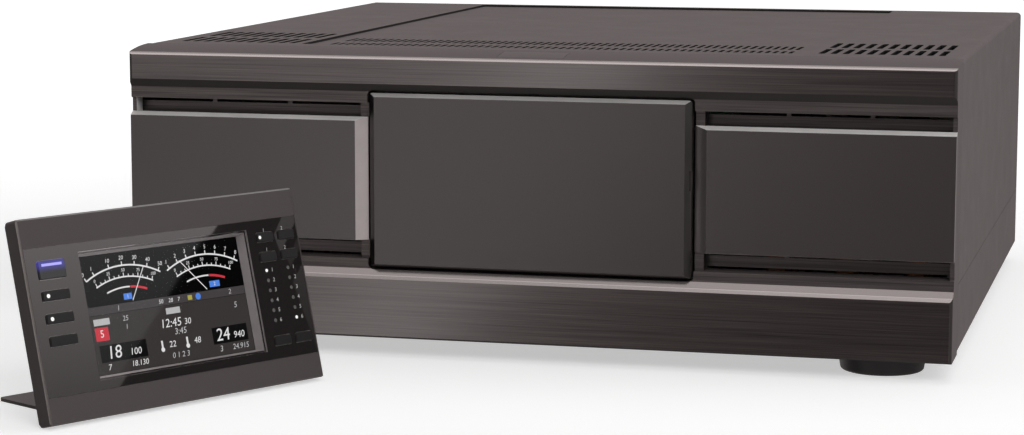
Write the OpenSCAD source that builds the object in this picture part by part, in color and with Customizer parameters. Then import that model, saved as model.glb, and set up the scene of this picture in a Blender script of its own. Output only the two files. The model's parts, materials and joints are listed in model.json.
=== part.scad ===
// HF linear amplifier: a full-width station cabinet and its separate desk controller.
// X runs to the right, Y to the back and Z up. The desk top is Z = 0. The cabinet's mid
// plane is X = 0, and Y = 0 lies half way between the controller's front and the rear stud.

/* [Cabinet] */
// Width over the side walls
body_w = 425; // [400:1:520]
// Height of the case without its feet
body_h = 146.4; // [140:0.2:180]
// Depth from the front bands to the rear edge of the cover
body_d = 423; // [400:1:520]
// Thickness of the cover and tray sheet
sheet_t = 1.5; // [1:0.1:2]
// Radius of the long folded edges
fold_r = 2.5; // [2:0.1:4]
// Height to which the tray's side walls rise above its underside
tray_h = 35.2; // [30:0.2:50]

/* [Front frame] */
// Depth of the cast front frame
frame_d = 28; // [26:0.5:34]
// Wall of the cast frame
frame_wall = 2.5; // [2:0.1:3]
// Height of the brushed upper band with its polished edge
upper_band_h = 16.3; // [12:0.1:20]
// Height of the brushed lower band
lower_band_h = 30.4; // [24:0.1:32]
// How far the slopes behind the bands set the lips back
slope_d = 3.2; // [2:0.1:4]
// Height of the upper slope and of the lower slope with its polished edge
slope_h = [4.1, 4.8];
// Height of the upper and the lower lip
lip_h = [5.8, 5.1];
// Depth of the intake recess
recess_d = 14; // [12:0.2:18]
// How much the top surface falls towards the front edge
top_fall = 2.4; // [1:0.1:3]
// Depth and height of the polished edge of the upper band
polish = [1.7, 1.4];

/* [Front plates] */
// Height of a side plate
plate_h = 63.1; // [50:0.1:66]
// Height of a side plate's lower edge above the case's underside
plate_up = 49.8; // [48:0.1:52]
// Face setback and thickness of a side plate
plate_back = 1.6; // [1:0.1:2]
plate_t = 4.9; // [4:0.1:6]
// Depth of the plate's bevels, and their widths at the top and at the inner side
bevel_d = 3.3; // [2:0.1:3.5]
bevel_w = [1.8, 6.2];
// Air slot heights: under the upper lip, behind the plate's lower edge and at the recess floor
slot_h = [2.5, 3.0, 1.5];
// Width of the bridges between the air slots
bridge_w = 2.4; // [2:0.1:4]

/* [Dock] */
// Width, height and corner radius of the blank cover over the dock
dock_w = 166; // [150:0.5:170]
dock_h = 89; // [80:0.5:92]
dock_r = 1.5; // [1:0.1:3]
// Bevels of the cover: width at the sides, width at the top and bottom, and depth
dock_bevel = [3, 1.8, 3];
// Height of the dock cover's middle above the case's underside
dock_mid = 80.8; // [79:0.1:82]
// Dark gap all round the dock cover
dock_gap = 1.4; // [1:0.1:2.5]
// Wall round the dock bay, and the posts beside it that carry the plates' inner ends
bay_wall = 2; // [1.5:0.1:2.5]
post_w = 4.5; // [3:0.1:6]
// Finger notch in the cover's right edge: depth, height, and height above its middle
dock_notch = [1.2, 10, 4.6];
// Release tab over the dock: width, depth and how far behind the front face it starts
tab_w = 34; // [28:0.5:40]
tab_d = 16; // [12:0.5:18]
tab_y = 5.5; // [5:0.1:8]
// Travel of the release tab
tab_travel = 1.5; // [1:0.1:2]

/* [Top vents] */
// Pitch and width of the slots at the sides and in the middle
side_vent = [6, 3.3];
mid_vent = [4, 2.0];
// Slots in each row
side_vent_n = 11; // [6:1:12]
mid_vent_n = 62; // [40:1:62]
// Where the two side rows and the two middle rows start, and how long their slots are
side_rows = [[47, 32], [88, 34]];
mid_rows = [[50, 24], [85, 22]];
// Distance of the outermost side slot from the cabinet's side
side_vent_in = 12.5; // [10:0.5:16]
// Recessed field in the top: half width, first and last place along Y, depth
field_half = 133.5; // [128:0.5:136]
field_y = [44, 419];
field_deep = 1.2; // [0.8:0.1:1.5]

/* [Feet] */
// Height, upper and lower diameter of a rubber foot
foot_h = 10; // [8:0.5:14]
foot_d = [44.5, 42];
// Distance of the feet from the sides, behind the front frame and from the rear edge
foot_in = [37.5, 6, 43];
// Radius of the foot screws' shanks
foot_screw_r = 2; // [1.5:0.1:2.5]

/* [Rear panel] */
// Thickness of the rear panel and how far it sits inside the rear edge
rear_t = 2; // [1.5:0.1:3]
rear_in = 4; // [3.5:0.1:6]
// Frame size, depth and bore radius of a fan
fan_size = 80; // [78:1:82]
fan_t = 25; // [20:1:26]
fan_bore_r = 38.4; // [37:0.1:38.5]
// Distance between the fans and height of their axes above the underside
fan_gap = 86; // [84:1:92]
fan_up = 74; // [66:1:84]
// Number of fan blades and the radius of their tips
blade_n = 7; // [5:1:9]
blade_r = 37.4; // [34:0.1:37.5]
// Radius of the fan's pin and its running clearance
fan_pin_r = 1.5; // [1.2:0.1:2]
run_gap = 0.05; // [0.02:0.01:0.1]
// Outside radius and length of a coaxial socket's barrel
coax_r = 7.94; // [7.9:0.01:8]
coax_l = 12; // [10:0.5:14]
// Side of a coaxial socket's flange and the spacing of the sockets
coax_flange = 25.4; // [24:0.1:26]
coax_pitch = [33, 31];
// Radius and outside length of the ground stud
ground_r = 3; // [2.5:0.1:4]
ground_l = 18; // [14:0.5:20]

/* [Controller] */
// Width and height of the controller's face, and depth of its rim
ctl_w = 164; // [160:1:180]
ctl_h = 94; // [92:0.5:104]
rim_d = 8.5; // [8:0.1:10]
// Height of the upper and of the lower band on its face
ctl_band = [13.7, 12.2];
// Depth of the moulded back over the electronics, and how far it is set in all round
hump_d = 20; // [18:0.5:26]
hump_in = 12; // [10:0.5:14]
// Wall of the controller's mouldings
ctl_wall = 2; // [1.5:0.1:2.5]
// How far the face leans back, in degrees
ctl_lean = 14.5; // [8:0.5:20]
// Turn of the controller on the desk, in degrees
ctl_turn = 60.5; // [0:0.5:75]
// Where the front lower left corner stands from the cabinet's middle and front face
ctl_at = [-166, -209];
// Screen opening: width, height, corner radius and place of its lower left corner
screen_size = [100.5, 59.5];
screen_at = [31, 16.6];
// Visible size at the bottom of the screen's sloping frame, and the frame's depth
glass_size = [95.4, 55.2];
screen_deep = 6; // [4:0.1:7]
// Thickness of the clear window
window_t = 1.2; // [0.8:0.1:1.5]

/* [Keys] */
// Width and height of the power key, the function keys at the left and the keys at the right
power_key = [15, 8.6];
left_key = [15.2, 4.6];
right_key = [10.4, 4.6];
// Gap round a key and how far its cap stands out of the fascia
key_gap = 0.25; // [0.2:0.05:0.4]
key_out = 0.9; // [0.7:0.05:1.2]
// Travel of the power key and of the other keys
power_travel = 0.8; // [0.5:0.05:0.8]
key_travel = 0.5; // [0.3:0.05:0.6]
// Radius of an indicator lamp, and the step from lamp to lamp
lamp_r = 0.8; // [0.6:0.05:1]
lamp_step = 4.9; // [4.5:0.1:5.2]

/* [Stand] */
// Width, reach behind the hinge and thickness of the stand plate
stand_w = 116; // [90:1:120]
stand_l = 53; // [40:1:56]
stand_t = 1.5; // [1.2:0.1:2]
// Radius of the hinge pin and of its knuckles
hinge_r = 1.5; // [1.2:0.1:2]
knuckle_r = 3.2; // [3:0.1:3.5]

/* [Hidden] */
$fn = 48;
cut = 1;          // how far a cutting shape runs past the surface it cuts
seam = 0.3;       // joint between the frame, the cover and the tray
fit = 0.2;        // clearance between pieces that slip into each other

// Colours as the photograph shows them
dark_metal = "#4f4a49";
cover_metal = "#66615f";
panel_metal = "#45403f";
bare_metal = "#a9a9ac";
case_plastic = "#3f3b3b";
fascia_black = "#262425";
board_green = "#24513a";
rubber_black = "#1c1b1c";

// Heights of the cabinet above the desk
z0 = foot_h;
z1 = z0 + body_h;
half_w = body_w / 2;
upper_slope_z = z1 - upper_band_h;
upper_lip_z = upper_slope_z - slope_h[0];
recess_top_z = upper_lip_z - lip_h[0];
lower_slope_z = z0 + lower_band_h;
lower_lip_z = lower_slope_z + slope_h[1];
recess_low_z = lower_lip_z + lip_h[1];
plate_z = z0 + plate_up;
dock_z = z0 + dock_mid;
cheek_t = 2.2;
post_y = plate_back + plate_t;          // front of the posts, where the plates rest
cheek_y = post_y - 1.5;                 // front of the cheek between the bands
recess_wall = 2;

// Depths of the cabinet
cover_y = frame_d + seam;
rear_y = body_d - rear_in;               // inner face of the rear panel
outer_y = rear_y + rear_t;               // outer face of the rear panel
fan_z = z0 + fan_up;
fan_x = [-fan_gap / 2, fan_gap / 2];
foot_y = [frame_d + foot_in[1], body_d - foot_in[2]];
set_mid_y = (outer_y + ground_l + ctl_at[1]) / 2;

// Places on the rear panel, as X and height above the desk
coax_at = [for (row = [0:2], col = [0:1])
    [half_w - 47 - col * coax_pitch[0], z1 - 32 - row * coax_pitch[1]]];
input_at = [for (row = [0:1]) [half_w - 47 - 2 * coax_pitch[0], z1 - 32 - row * coax_pitch[1]]];
phono_at = [for (i = [0:3]) [half_w - 50 - i * 19, z0 + 20]];
control_at = [for (i = [0:1]) [half_w - 47 - 2 * coax_pitch[0], z0 + 58 - i * 22]];
ground_at = [half_w - 22, z0 + 20];
inlet_at = [-half_w + 62, z0 + 32];
breaker_at = [-half_w + 62, z0 + 92];

// ---------------------------------------------------------------- shared shapes

// Rectangle with round corners, its lower left corner at the origin
module round_rect(size, r) {
    translate([r, 0]) square([size[0] - 2 * r, size[1]]);
    translate([0, r]) square([size[0], size[1] - 2 * r]);
    for (x = [r, size[0] - r], y = [r, size[1] - r]) translate([x, y]) circle(r);
}

// The same rectangle centred on the origin
module round_rect_mid(size, r) {
    translate([-size[0] / 2, -size[1] / 2]) round_rect(size, r);
}

// Slot with round ends along Y, its near end at the origin
module oblong(w, l) {
    translate([-w / 2, w / 2]) square([w, l - w]);
    for (y = [w / 2, l - w / 2]) translate([0, y]) circle(w / 2, $fn = 24);
}

// Extrudes an outline drawn as (Y, Z) along X, from x0 to x1
module along_x(x0, x1) {
    translate([x0, 0, 0]) rotate([90, 0, 90]) linear_extrude(x1 - x0) children();
}

// Extrudes an outline drawn as (X, Z) along Y, from y0 to y1
module along_y(y0, y1) {
    translate([0, y1, 0]) rotate([90, 0, 0]) linear_extrude(y1 - y0) children();
}

// Plate in the X-Z plane from y0 to y1, with round corners and flat bevels round its front;
// c holds the bevels' width at the sides, their width at the top and bottom, and their depth
module bevelled(size, r, y0, y1, c) {
    intersection() {
        along_y(y0, y1) round_rect(size, r);
        along_x(0, size[0]) polygon([[y0, c[1]], [y0 + c[2], 0], [y1, 0], [y1, size[1]],
            [y0 + c[2], size[1]], [y0, size[1] - c[1]]]);
        linear_extrude(size[1]) polygon([[c[0], y0], [0, y0 + c[2]], [0, y1], [size[0], y1],
            [size[0], y0 + c[2]], [size[0] - c[0], y0]]);
    }
}

// Cylinder along Y from y0 to y1
module rod_y(r, y0, y1) {
    translate([0, y0, 0]) rotate([-90, 0, 0]) cylinder(r = r, h = y1 - y0);
}

// Places a child of the rear panel: its outer face becomes local Y = 0
module on_rear(at) {
    translate([at[0], outer_y, at[1]]) children();
}

// Puts the cabinet frame, with Y = 0 at the front bands, into the set's frame
module set_down() {
    translate([0, -set_mid_y, 0]) children();
}

// Puts the controller's own frame on the desk: X along its face, Y into it, Z up its face
module controller_place() {
    set_down() translate([ctl_at[0], ctl_at[1], 0]) rotate([0, 0, ctl_turn])
        translate([0, 0, rim_d * sin(ctl_lean)]) rotate([-ctl_lean, 0, 0]) children();
}

// ---------------------------------------------------------------- front frame

// Roll of the top surface from the rear edge of the frame to the polished edge, as (Y, Z)
roll_n = 8;
function roll(inset) = [for (i = [0:roll_n])
    let (t = i / roll_n, y = frame_d + t * (polish[0] + inset - frame_d))
    [y, z1 - inset - top_fall * t * t]];

upper_outline = concat(roll(0), [
    [0, z1 - top_fall - polish[1]], [0, upper_slope_z], [slope_d, upper_lip_z],
    [slope_d, recess_top_z]
]);
lower_outline = [
    [slope_d, recess_low_z], [slope_d, lower_lip_z], [0.8, lower_slope_z + 1.6],
    [0, lower_slope_z], [0, z0 + 1], [1, z0], [frame_d, z0]
];

// Upper channel: an open casting wall that follows the outline
module upper_channel() {
    w = frame_wall;
    along_x(-half_w, half_w) polygon(concat(
        upper_outline,
        [[recess_d + recess_wall, recess_top_z], [recess_d + recess_wall, recess_top_z + w],
         [slope_d + w, recess_top_z + w], [slope_d + w, upper_lip_z + 0.7],
         [w, upper_slope_z + 0.7], [w, z1 - top_fall - polish[1] - w]],
        [for (i = [0:roll_n]) roll(w)[roll_n - i]]
    ));
}

// Lower channel, with the flange that carries the tray and the front feet
module lower_channel() {
    w = frame_wall;
    along_x(-half_w, half_w) polygon(concat(
        [[recess_d + recess_wall, recess_low_z]],
        lower_outline,
        [[frame_d, z0 + w], [w, z0 + w], [w, lower_slope_z - 0.7],
         [slope_d + w, lower_lip_z - 0.7], [slope_d + w, recess_low_z - w],
         [recess_d + recess_wall, recess_low_z - w]]
    ));
    translate([-flange_half, frame_d - cut, z0]) cube([2 * flange_half, flange_d + cut, w]);
}
flange_half = half_w - 8;
flange_d = 26;

// End cheek of the frame, closing the channels
module cheek() {
    polygon(concat(
        upper_outline,
        [[cheek_y, recess_top_z - 0.5], [cheek_y, recess_low_z + 0.5]],
        lower_outline
    ));
}

// Outline of the frame from above, with its rounded front corners
module frame_plan(depth) {
    r = 2;
    translate([-half_w, r]) square([body_w, depth - r]);
    translate([-half_w + r, 0]) square([body_w - 2 * r, depth]);
    for (x = [-half_w + r, half_w - r]) translate([x, r]) circle(r);
}

dock_open = [dock_w + 2 * dock_gap, dock_h + 2 * dock_gap];

// Air slots of one side, between the post beside the dock bay and the cheek
slot_x0 = dock_open[0] / 2 + post_w + 0.5;
slot_x1 = half_w - cheek_t;
module slots(side) {
    pitch = (slot_x1 - slot_x0 + bridge_w) / 3;
    for (i = [0:2]) {
        x = slot_x0 + i * pitch;
        for (row = [[recess_top_z - slot_h[0], slot_h[0]], [plate_z - 2.5, slot_h[1]]])
            translate([side > 0 ? x : -x - pitch + bridge_w, recess_d - cut, row[0]])
                cube([pitch - bridge_w, recess_wall + 2 * cut, row[1]]);
    }
    long = slot_x1 - slot_x0 - 2;
    translate([side > 0 ? slot_x0 : -slot_x0 - long, recess_d - cut, recess_low_z])
        cube([long, recess_wall + 2 * cut, slot_h[2]]);
}

tab_hole = [tab_w + 2 * fit, tab_d + 2 * fit];
tab_stem_r = 3;
tab_guide_z = recess_top_z + 12;

// Wall round the dock bay: it reaches the lips at the top and bottom, and at the sides it
// steps back to the posts, whose fronts carry the plates
module dock_surround() {
    rear = recess_d + recess_wall;
    high = dock_open[1] + 2 * bay_wall;
    along_y(post_y, rear) translate([0, dock_z])
        round_rect_mid([dock_open[0] + 2 * post_w, high], dock_r + dock_gap);
    difference() {
        along_y(slope_d, rear) translate([0, dock_z])
            round_rect_mid([dock_open[0] + 2 * bay_wall, high], dock_r + dock_gap + bay_wall);
        translate([-half_w, -cut, recess_low_z])
            cube([body_w, post_y + cut, recess_top_z - recess_low_z]);
    }
}

module front_frame() color(dark_metal) set_down() difference() {
    intersection() {
        linear_extrude(z1 + cut) union() {
            frame_plan(frame_d);
            translate([-flange_half, frame_d - cut]) square([2 * flange_half, flange_d + cut]);
        }
        difference() {
            union() {
                upper_channel();
                lower_channel();
                along_x(-half_w, -half_w + cheek_t) cheek();
                along_x(half_w - cheek_t, half_w) cheek();
                translate([-half_w + 1, recess_d, recess_low_z - 1])
                    cube([body_w - 2, recess_wall, recess_top_z - recess_low_z + 2]);
                dock_surround();
                translate([0, tab_y + tab_d / 2, recess_top_z])
                    cylinder(r = tab_stem_r + 3, h = tab_guide_z - recess_top_z);
            }
            along_y(-cut, recess_d) translate([0, dock_z])
                round_rect_mid(dock_open, dock_r + dock_gap);
            slots(-1);
            slots(1);
            translate([-tab_hole[0] / 2, tab_y - fit, tab_guide_z + 1])
                cube([tab_hole[0], tab_hole[1], z1 - tab_guide_z]);
            translate([0, tab_y + tab_d / 2, recess_top_z + frame_wall])
                cylinder(r = tab_stem_r + run_gap, h = tab_guide_z);
        }
    }
    for (x = [-1, 1]) translate([x * (half_w - foot_in[0]), foot_y[0], z0 - cut])
        cylinder(r = foot_screw_r + fit, h = frame_wall + 2 * cut);
    for (x = dock_peg_x, z = dock_peg_z) translate([x, 0, dock_z + z])
        rod_y(dock_peg_r + fit, recess_d - cut, recess_d + recess_wall + cut);
}

// ---------------------------------------------------------------- front plates

module right_plate_shape() {
    x0 = dock_open[0] / 2;
    top = plate_z + plate_h;
    intersection() {
        linear_extrude(z1) frame_plan(frame_d);
        difference() {
            translate([x0, plate_back, plate_z]) cube([half_w - x0, plate_t, plate_h]);
            along_x(x0 - cut, half_w + cut) polygon([
                [plate_back - cut, top - bevel_w[0] - bevel_w[0] / bevel_d * cut],
                [plate_back + bevel_d + cut, top + bevel_w[0] / bevel_d * cut],
                [plate_back - cut, top + cut]
            ]);
            translate([0, 0, plate_z - cut]) linear_extrude(plate_h + 2 * cut) polygon([
                [x0 + bevel_w[1] + bevel_w[1] / bevel_d * cut, plate_back - cut],
                [x0 - bevel_w[1] / bevel_d * cut, plate_back + bevel_d + cut],
                [x0 - cut * 3, plate_back - cut]
            ]);
            translate([half_w - cheek_t - fit, cheek_y, plate_z - cut])
                cube([cheek_t + fit + cut, plate_t, plate_h + 2 * cut]);
        }
    }
    for (x = [x0 + 18, half_w - 18], z = [plate_z + 12, top - 12]) translate([x, 0, z])
        rod_y(3, post_y - 0.01, recess_d);
}

module right_front_plate() color(panel_metal) set_down() right_plate_shape();

module left_front_plate() color(panel_metal) set_down() mirror([1, 0, 0]) right_plate_shape();

// ---------------------------------------------------------------- dock cover and tab

dock_peg_r = 2.5;
dock_peg_x = [-dock_w / 2 + 12, dock_w / 2 - 12];
dock_peg_z = [-dock_h / 2 + 12, dock_h / 2 - 12];

// Blank cover: a rimmed plate on four pegs that clip into the bay's back wall
module dock_cover() color(panel_metal) set_down() translate([0, 0, dock_z]) {
    face_t = 3;
    difference() {
        translate([-dock_w / 2, 0, -dock_h / 2]) bevelled([dock_w, dock_h], dock_r, 0, 9,
            dock_bevel);
        along_y(dock_bevel[2] + face_t, 9 + cut)
            round_rect_mid([dock_w - 4, dock_h - 4], dock_r / 2);
        along_y(face_t, 9 + cut) round_rect_mid(
            [dock_w - 2 * dock_bevel[0] - 4, dock_h - 2 * dock_bevel[1] - 4], dock_r / 2);
        translate([dock_w / 2 - dock_notch[0], dock_bevel[2] - 1, dock_notch[2] - dock_notch[1] / 2])
            cube([dock_notch[0] + cut, 3, dock_notch[1]]);
    }
    for (x = dock_peg_x, z = dock_peg_z) translate([x, 0, z]) {
        rod_y(dock_peg_r + 2, face_t - 0.1, recess_d - seam);
        rod_y(dock_peg_r, face_t, recess_d + recess_wall + 1);
    }
}

// Flush tab in the top of the frame; its stem runs in the guide of the upper channel
module release_tab() color(cover_metal) set_down() {
    intersection() {
        along_x(-tab_w / 2, tab_w / 2) polygon(concat(
            roll(0), [for (i = [0:roll_n]) roll(frame_wall)[roll_n - i]]));
        translate([-tab_w / 2, tab_y, z0]) cube([tab_w, tab_d, body_h]);
    }
    stem_z = recess_top_z + frame_wall + tab_travel + 1;
    translate([0, tab_y + tab_d / 2, stem_z])
        cylinder(r = tab_stem_r, h = z1 - top_fall / 2 - frame_wall / 2 - stem_z);
}

// ---------------------------------------------------------------- tray and cover

lap_t = sheet_t;
tray_top = z0 + tray_h;
hem = 12;                            // how far the cover's hem reaches into the tray
rear_flange_h = 12;
screw_r = 1.5;
floor_vent_x = half_w - 64;
case_screw_x = [for (i = [-2:2]) i * (half_w - 22) / 2];

// Folded U outline as (X, Z): round lower corners, open top
module tray_outline() {
    difference() {
        translate([-half_w, z0]) round_rect([body_w, tray_h + 2 * fold_r], fold_r);
        translate([-half_w + sheet_t, z0 + sheet_t])
            round_rect([body_w - 2 * sheet_t, tray_h + 2 * fold_r], fold_r - sheet_t);
        translate([-half_w - cut, tray_top]) square([body_w + 2 * cut, 3 * fold_r]);
    }
}

deck_y = frame_d + flange_d + 10;     // front of what stands on the tray
pillar_r = 4;
pillar_h = 12;
filter_y = [deck_y + 6, deck_y + 131];
tuner_y = [deck_y + 141, deck_y + 321];
rf_x = [92, half_w - 8];
pillar_at = [for (x = [rf_x[0] + 7, rf_x[1] - 7],
    y = [filter_y[0] + 8, filter_y[1] - 8, tuner_y[0] + 8, tuner_y[1] - 8]) [x, y]];

module bottom_tray() color(cover_metal) set_down() {
    flange_y = frame_d + flange_d;
    difference() {
        union() {
            along_y(cover_y, body_d) tray_outline();
            translate([-flange_half, recess_d - 2, z0 + frame_wall])
                cube([2 * flange_half, flange_y + 8 - recess_d, lap_t]);
            translate([-flange_half, flange_y + seam, z0])
                cube([2 * flange_half, sheet_t, frame_wall + lap_t]);
            translate([-half_w + 6, outer_y, z0 + 0.1])
                cube([body_w - 12, sheet_t, rear_flange_h]);
            for (at = pillar_at) translate([at[0], at[1], z0 + sheet_t - 0.1])
                cylinder(r = pillar_r, h = pillar_h + 0.1);
        }
        translate([-flange_half - seam, cover_y - cut, z0 - cut])
            cube([2 * flange_half + 2 * seam, flange_y + seam - cover_y + cut, sheet_t + cut]);
        for (x = [-1, 1], y = foot_y) translate([x * (half_w - foot_in[0]), y, z0 - cut])
                cylinder(r = foot_screw_r + run_gap, h = 2 * frame_wall + 2 * cut);
        for (x = case_screw_x) translate([x, 0, z0 + rear_flange_h / 2])
            rod_y(screw_r + run_gap, outer_y - cut, body_d);
        for (side = [-1, 1], i = [-5:5]) translate([side * floor_vent_x + i * 8, 92, z0 - cut])
            linear_extrude(sheet_t + 2 * cut) oblong(3, 40);
    }
}

// Cover outline as (X, Z): round upper corners, open bottom
module cover_outline() {
    low = tray_top + seam;
    difference() {
        translate([-half_w, low - 2 * fold_r])
            round_rect([body_w, z1 - low + 2 * fold_r], fold_r);
        translate([-half_w + sheet_t, low - 3 * fold_r])
            round_rect([body_w - 2 * sheet_t, z1 - sheet_t - low + 3 * fold_r], fold_r - sheet_t);
        translate([-half_w - cut, low - 3 * fold_r]) square([body_w + 2 * cut, 3 * fold_r]);
    }
}

// Joggled hems inside the tray's side walls
module cover_hems() {
    low = tray_top + seam;
    for (side = [-1, 1]) {
        x = side * (half_w - 1.5 * sheet_t - fit);
        translate([x - sheet_t / 2, low - hem]) square([sheet_t, hem + 4]);
        translate([x - sheet_t / 2 - (side < 0 ? fit + 0.1 : 0), low + 2])
            square([sheet_t + fit + 0.1, 2]);
    }
}

tongue_y = tab_y + tab_d + 1.5;       // the cover's tongue under the frame's rear edge
tongue_z = z1 - frame_wall - fit - sheet_t - 0.2;

module vent_row(pitch, n, row) {
    for (i = [0:n - 1]) translate([(i - (n - 1) / 2) * pitch[0], row[0]]) oblong(pitch[1], row[1]);
}

side_vent_mid = half_w - side_vent_in - (side_vent_n - 1) / 2 * side_vent[0];

module top_cover() color(cover_metal) set_down() difference() {
    union() {
        along_y(cover_y, body_d) cover_outline();
        along_y(cover_y, rear_y - fit) cover_hems();
        translate([-flange_half, tongue_y, tongue_z])
            cube([2 * flange_half, cover_y + sheet_t - tongue_y, sheet_t]);
        translate([-flange_half, cover_y, tongue_z])
            cube([2 * flange_half, sheet_t, z1 - 0.1 - tongue_z]);
        translate([-field_half - 2, field_y[0] - 2, z1 - sheet_t - field_deep])
            cube([2 * field_half + 4, field_y[1] - field_y[0] + 4 - rear_in, sheet_t]);
        translate([-half_w + 6, outer_y, z1 - rear_flange_h]) cube([body_w - 12, sheet_t,
            rear_flange_h - 0.1]);
    }
    translate([0, 0, z1 - field_deep]) linear_extrude(field_deep + cut)
        translate([-field_half, field_y[0]])
            round_rect([2 * field_half, field_y[1] - field_y[0] - rear_in], 2);
    translate([0, 0, z1 - 2 * sheet_t - field_deep]) linear_extrude(4 * sheet_t + field_deep) {
        for (row = mid_rows) vent_row(mid_vent, mid_vent_n, row);
        for (side = [-1, 1], row = side_rows)
            translate([side * side_vent_mid, 0]) vent_row(side_vent, side_vent_n, row);
    }
    for (x = case_screw_x) translate([x, 0, z1 - rear_flange_h / 2])
        rod_y(screw_r + run_gap, outer_y - cut, body_d);
}

// ---------------------------------------------------------------- feet and screws

foot_at = [for (x = [-1, 1], y = foot_y) [x * (half_w - foot_in[0]), y]];

module feet() color(rubber_black) set_down() for (at = foot_at) translate([at[0], at[1], 0])
    difference() {
        rotate_extrude() union() {
            polygon([[0, 0], [foot_d[1] / 2 - 2, 0], [foot_d[1] / 2, 2], [foot_d[0] / 2, foot_h],
                [0, foot_h]]);
            translate([foot_d[1] / 2 - 2, 2]) circle(2);
        }
        translate([0, 0, -cut]) cylinder(r = 7, h = 3 + cut);
        cylinder(r = foot_screw_r + run_gap, h = foot_h + cut);
    }

module foot_screws() color(bare_metal) set_down() for (at = foot_at)
    translate([at[0], at[1], 0.6]) {
        difference() {
            cylinder(r = 4, h = 2.4);
            for (turn = [0, 90]) rotate([0, 0, turn]) translate([-2.2, -0.4, -cut])
                cube([4.4, 0.8, 1.2 + cut]);
        }
        translate([0, 0, 2]) cylinder(r = foot_screw_r, h = foot_h + frame_wall + 2 * sheet_t - 2);
    }

// Pan-head screws along the rear flanges of the tray and the cover
module case_screws() color(bare_metal) set_down()
    for (x = case_screw_x, z = [z0 + rear_flange_h / 2, z1 - rear_flange_h / 2])
        translate([x, outer_y + sheet_t, z]) {
            difference() {
                rod_y(2.8, 0, 1.6);
                for (turn = [0, 90]) rotate([0, turn, 0]) translate([-1.6, 0.8, -0.3])
                    cube([3.2, 1, 0.6]);
            }
            rod_y(screw_r, -rear_t - sheet_t - 1, 0.1);
        }

// ---------------------------------------------------------------- rear panel

phono_r = 4.15;
control_r = 6.7;
inlet_size = [27, 19.8];
breaker_size = [26, 36];
stud_seat = 5;

module rear_panel() color(dark_metal) set_down() along_y(rear_y, outer_y) difference() {
    translate([-half_w + sheet_t + fit, z0 + sheet_t + fit]) round_rect(
        [body_w - 2 * sheet_t - 2 * fit, body_h - 2 * sheet_t - 2 * fit], fold_r);
    for (x = fan_x) translate([x, fan_z]) {
        circle(fan_bore_r);
        for (sx = [-1, 1], sz = [-1, 1])
            translate([sx * fan_hole, sz * fan_hole]) circle(2.2);
    }
    for (at = concat(coax_at, input_at)) translate(at) circle(coax_r + 0.5);
    for (at = phono_at) translate(at) circle(phono_r + 0.1);
    for (at = control_at) translate(at) circle(control_r + 0.1);
    translate(ground_at) circle(ground_r + run_gap);
    translate([inlet_at[0] - inlet_size[0] / 2 - fit, inlet_at[1] - inlet_size[1] / 2 - fit])
        square([inlet_size[0] + 2 * fit, inlet_size[1] + 2 * fit]);
    translate([breaker_at[0] - breaker_size[0] / 2 - fit,
        breaker_at[1] - breaker_size[1] / 2 - fit])
        square([breaker_size[0] + 2 * fit, breaker_size[1] + 2 * fit]);
    for (x = case_screw_x, z = [z0 + rear_flange_h / 2, z1 - rear_flange_h / 2])
        translate([x, z]) circle(screw_r + run_gap);
}

// ---------------------------------------------------------------- power supply

supply_x = [-half_w + 8, -94];
supply_y = [deck_y, deck_y + 306];
supply_h = 116;

// Perforated steel can, open at the top, standing on the tray
module supply_case() color(bare_metal) set_down() {
    w = supply_x[1] - supply_x[0];
    l = supply_y[1] - supply_y[0];
    t = 1.2;
    translate([supply_x[0], supply_y[0], z0 + sheet_t]) difference() {
        cube([w, l, supply_h]);
        translate([t, t, t]) cube([w - 2 * t, l - 2 * t, supply_h]);
        for (end = [-cut, l - t - cut], i = [0:8]) translate([14 + i * 10.4, end, 20])
            cube([4, t + 2 * cut, 60]);
    }
}

supply_board_z = z0 + sheet_t + 1.2;
module supply_board() color(board_green) set_down() {
    translate([supply_x[0] + 6, supply_y[0] + 8, supply_board_z]) {
        translate([0, 0, 8]) cube([supply_x[1] - supply_x[0] - 12, supply_y[1] - supply_y[0] - 16,
            1.6]);
        for (x = [8, supply_x[1] - supply_x[0] - 20], y = [10, supply_y[1] - supply_y[0] - 26])
            translate([x, y, 0]) cylinder(r = 3, h = 8.1);
    }
}

supply_top = supply_board_z + 9.6;
module supply_capacitors() color("#2c3350") set_down()
    for (i = [0:5]) translate([supply_x[0] + 26, supply_y[0] + 40 + i * 38, supply_top])
        rotate_extrude() polygon([[0, 0], [15, 0], [15, 46], [14, 47.5], [14, 48.5], [15, 50],
            [15, 59], [13.5, 60], [0, 60]]);

// Ferrite core with its bobbin and windings
module supply_transformer() color("#57504a") set_down()
    for (i = [0:1]) translate([supply_x[1] - 50, supply_y[0] + 60 + i * 110, supply_top]) {
        difference() {
            cube([36, 62, 56]);
            for (y = [10, 39]) translate([-cut, y, 12]) cube([38, 13, 32]);
        }
        translate([18, 31, 12]) cylinder(r = 19, h = 32);
    }

// ---------------------------------------------------------------- power amplifier

sink_x = 84;
sink_y = [deck_y + 6, deck_y + 308];
sink_top = z0 + 107;
sink_base = 8;
fin_t = 1.8;
fin_pitch = 8.6;
fin_low = z0 + 32;

// Extruded air tunnel: base plate, fins and the side walls that stand on the tray
module heat_sink() color(bare_metal) set_down() along_y(sink_y[0], sink_y[1]) {
    translate([-sink_x, sink_top - sink_base]) square([2 * sink_x, sink_base]);
    for (side = [-1, 1]) translate([side * (sink_x - 2) - 2, z0 + sheet_t])
        square([4, sink_top - z0 - sheet_t - 1]);
    for (i = [-8:8]) translate([i * fin_pitch - fin_t / 2, fin_low])
        square([fin_t, sink_top - sink_base - fin_low + 0.5]);
}

pa_board_t = 1.6;
pa_pitch = 68;
device_at = [for (side = [-1, 1], i = [0:3]) [side * 34, sink_y[0] + 48 + i * pa_pitch]];

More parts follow.
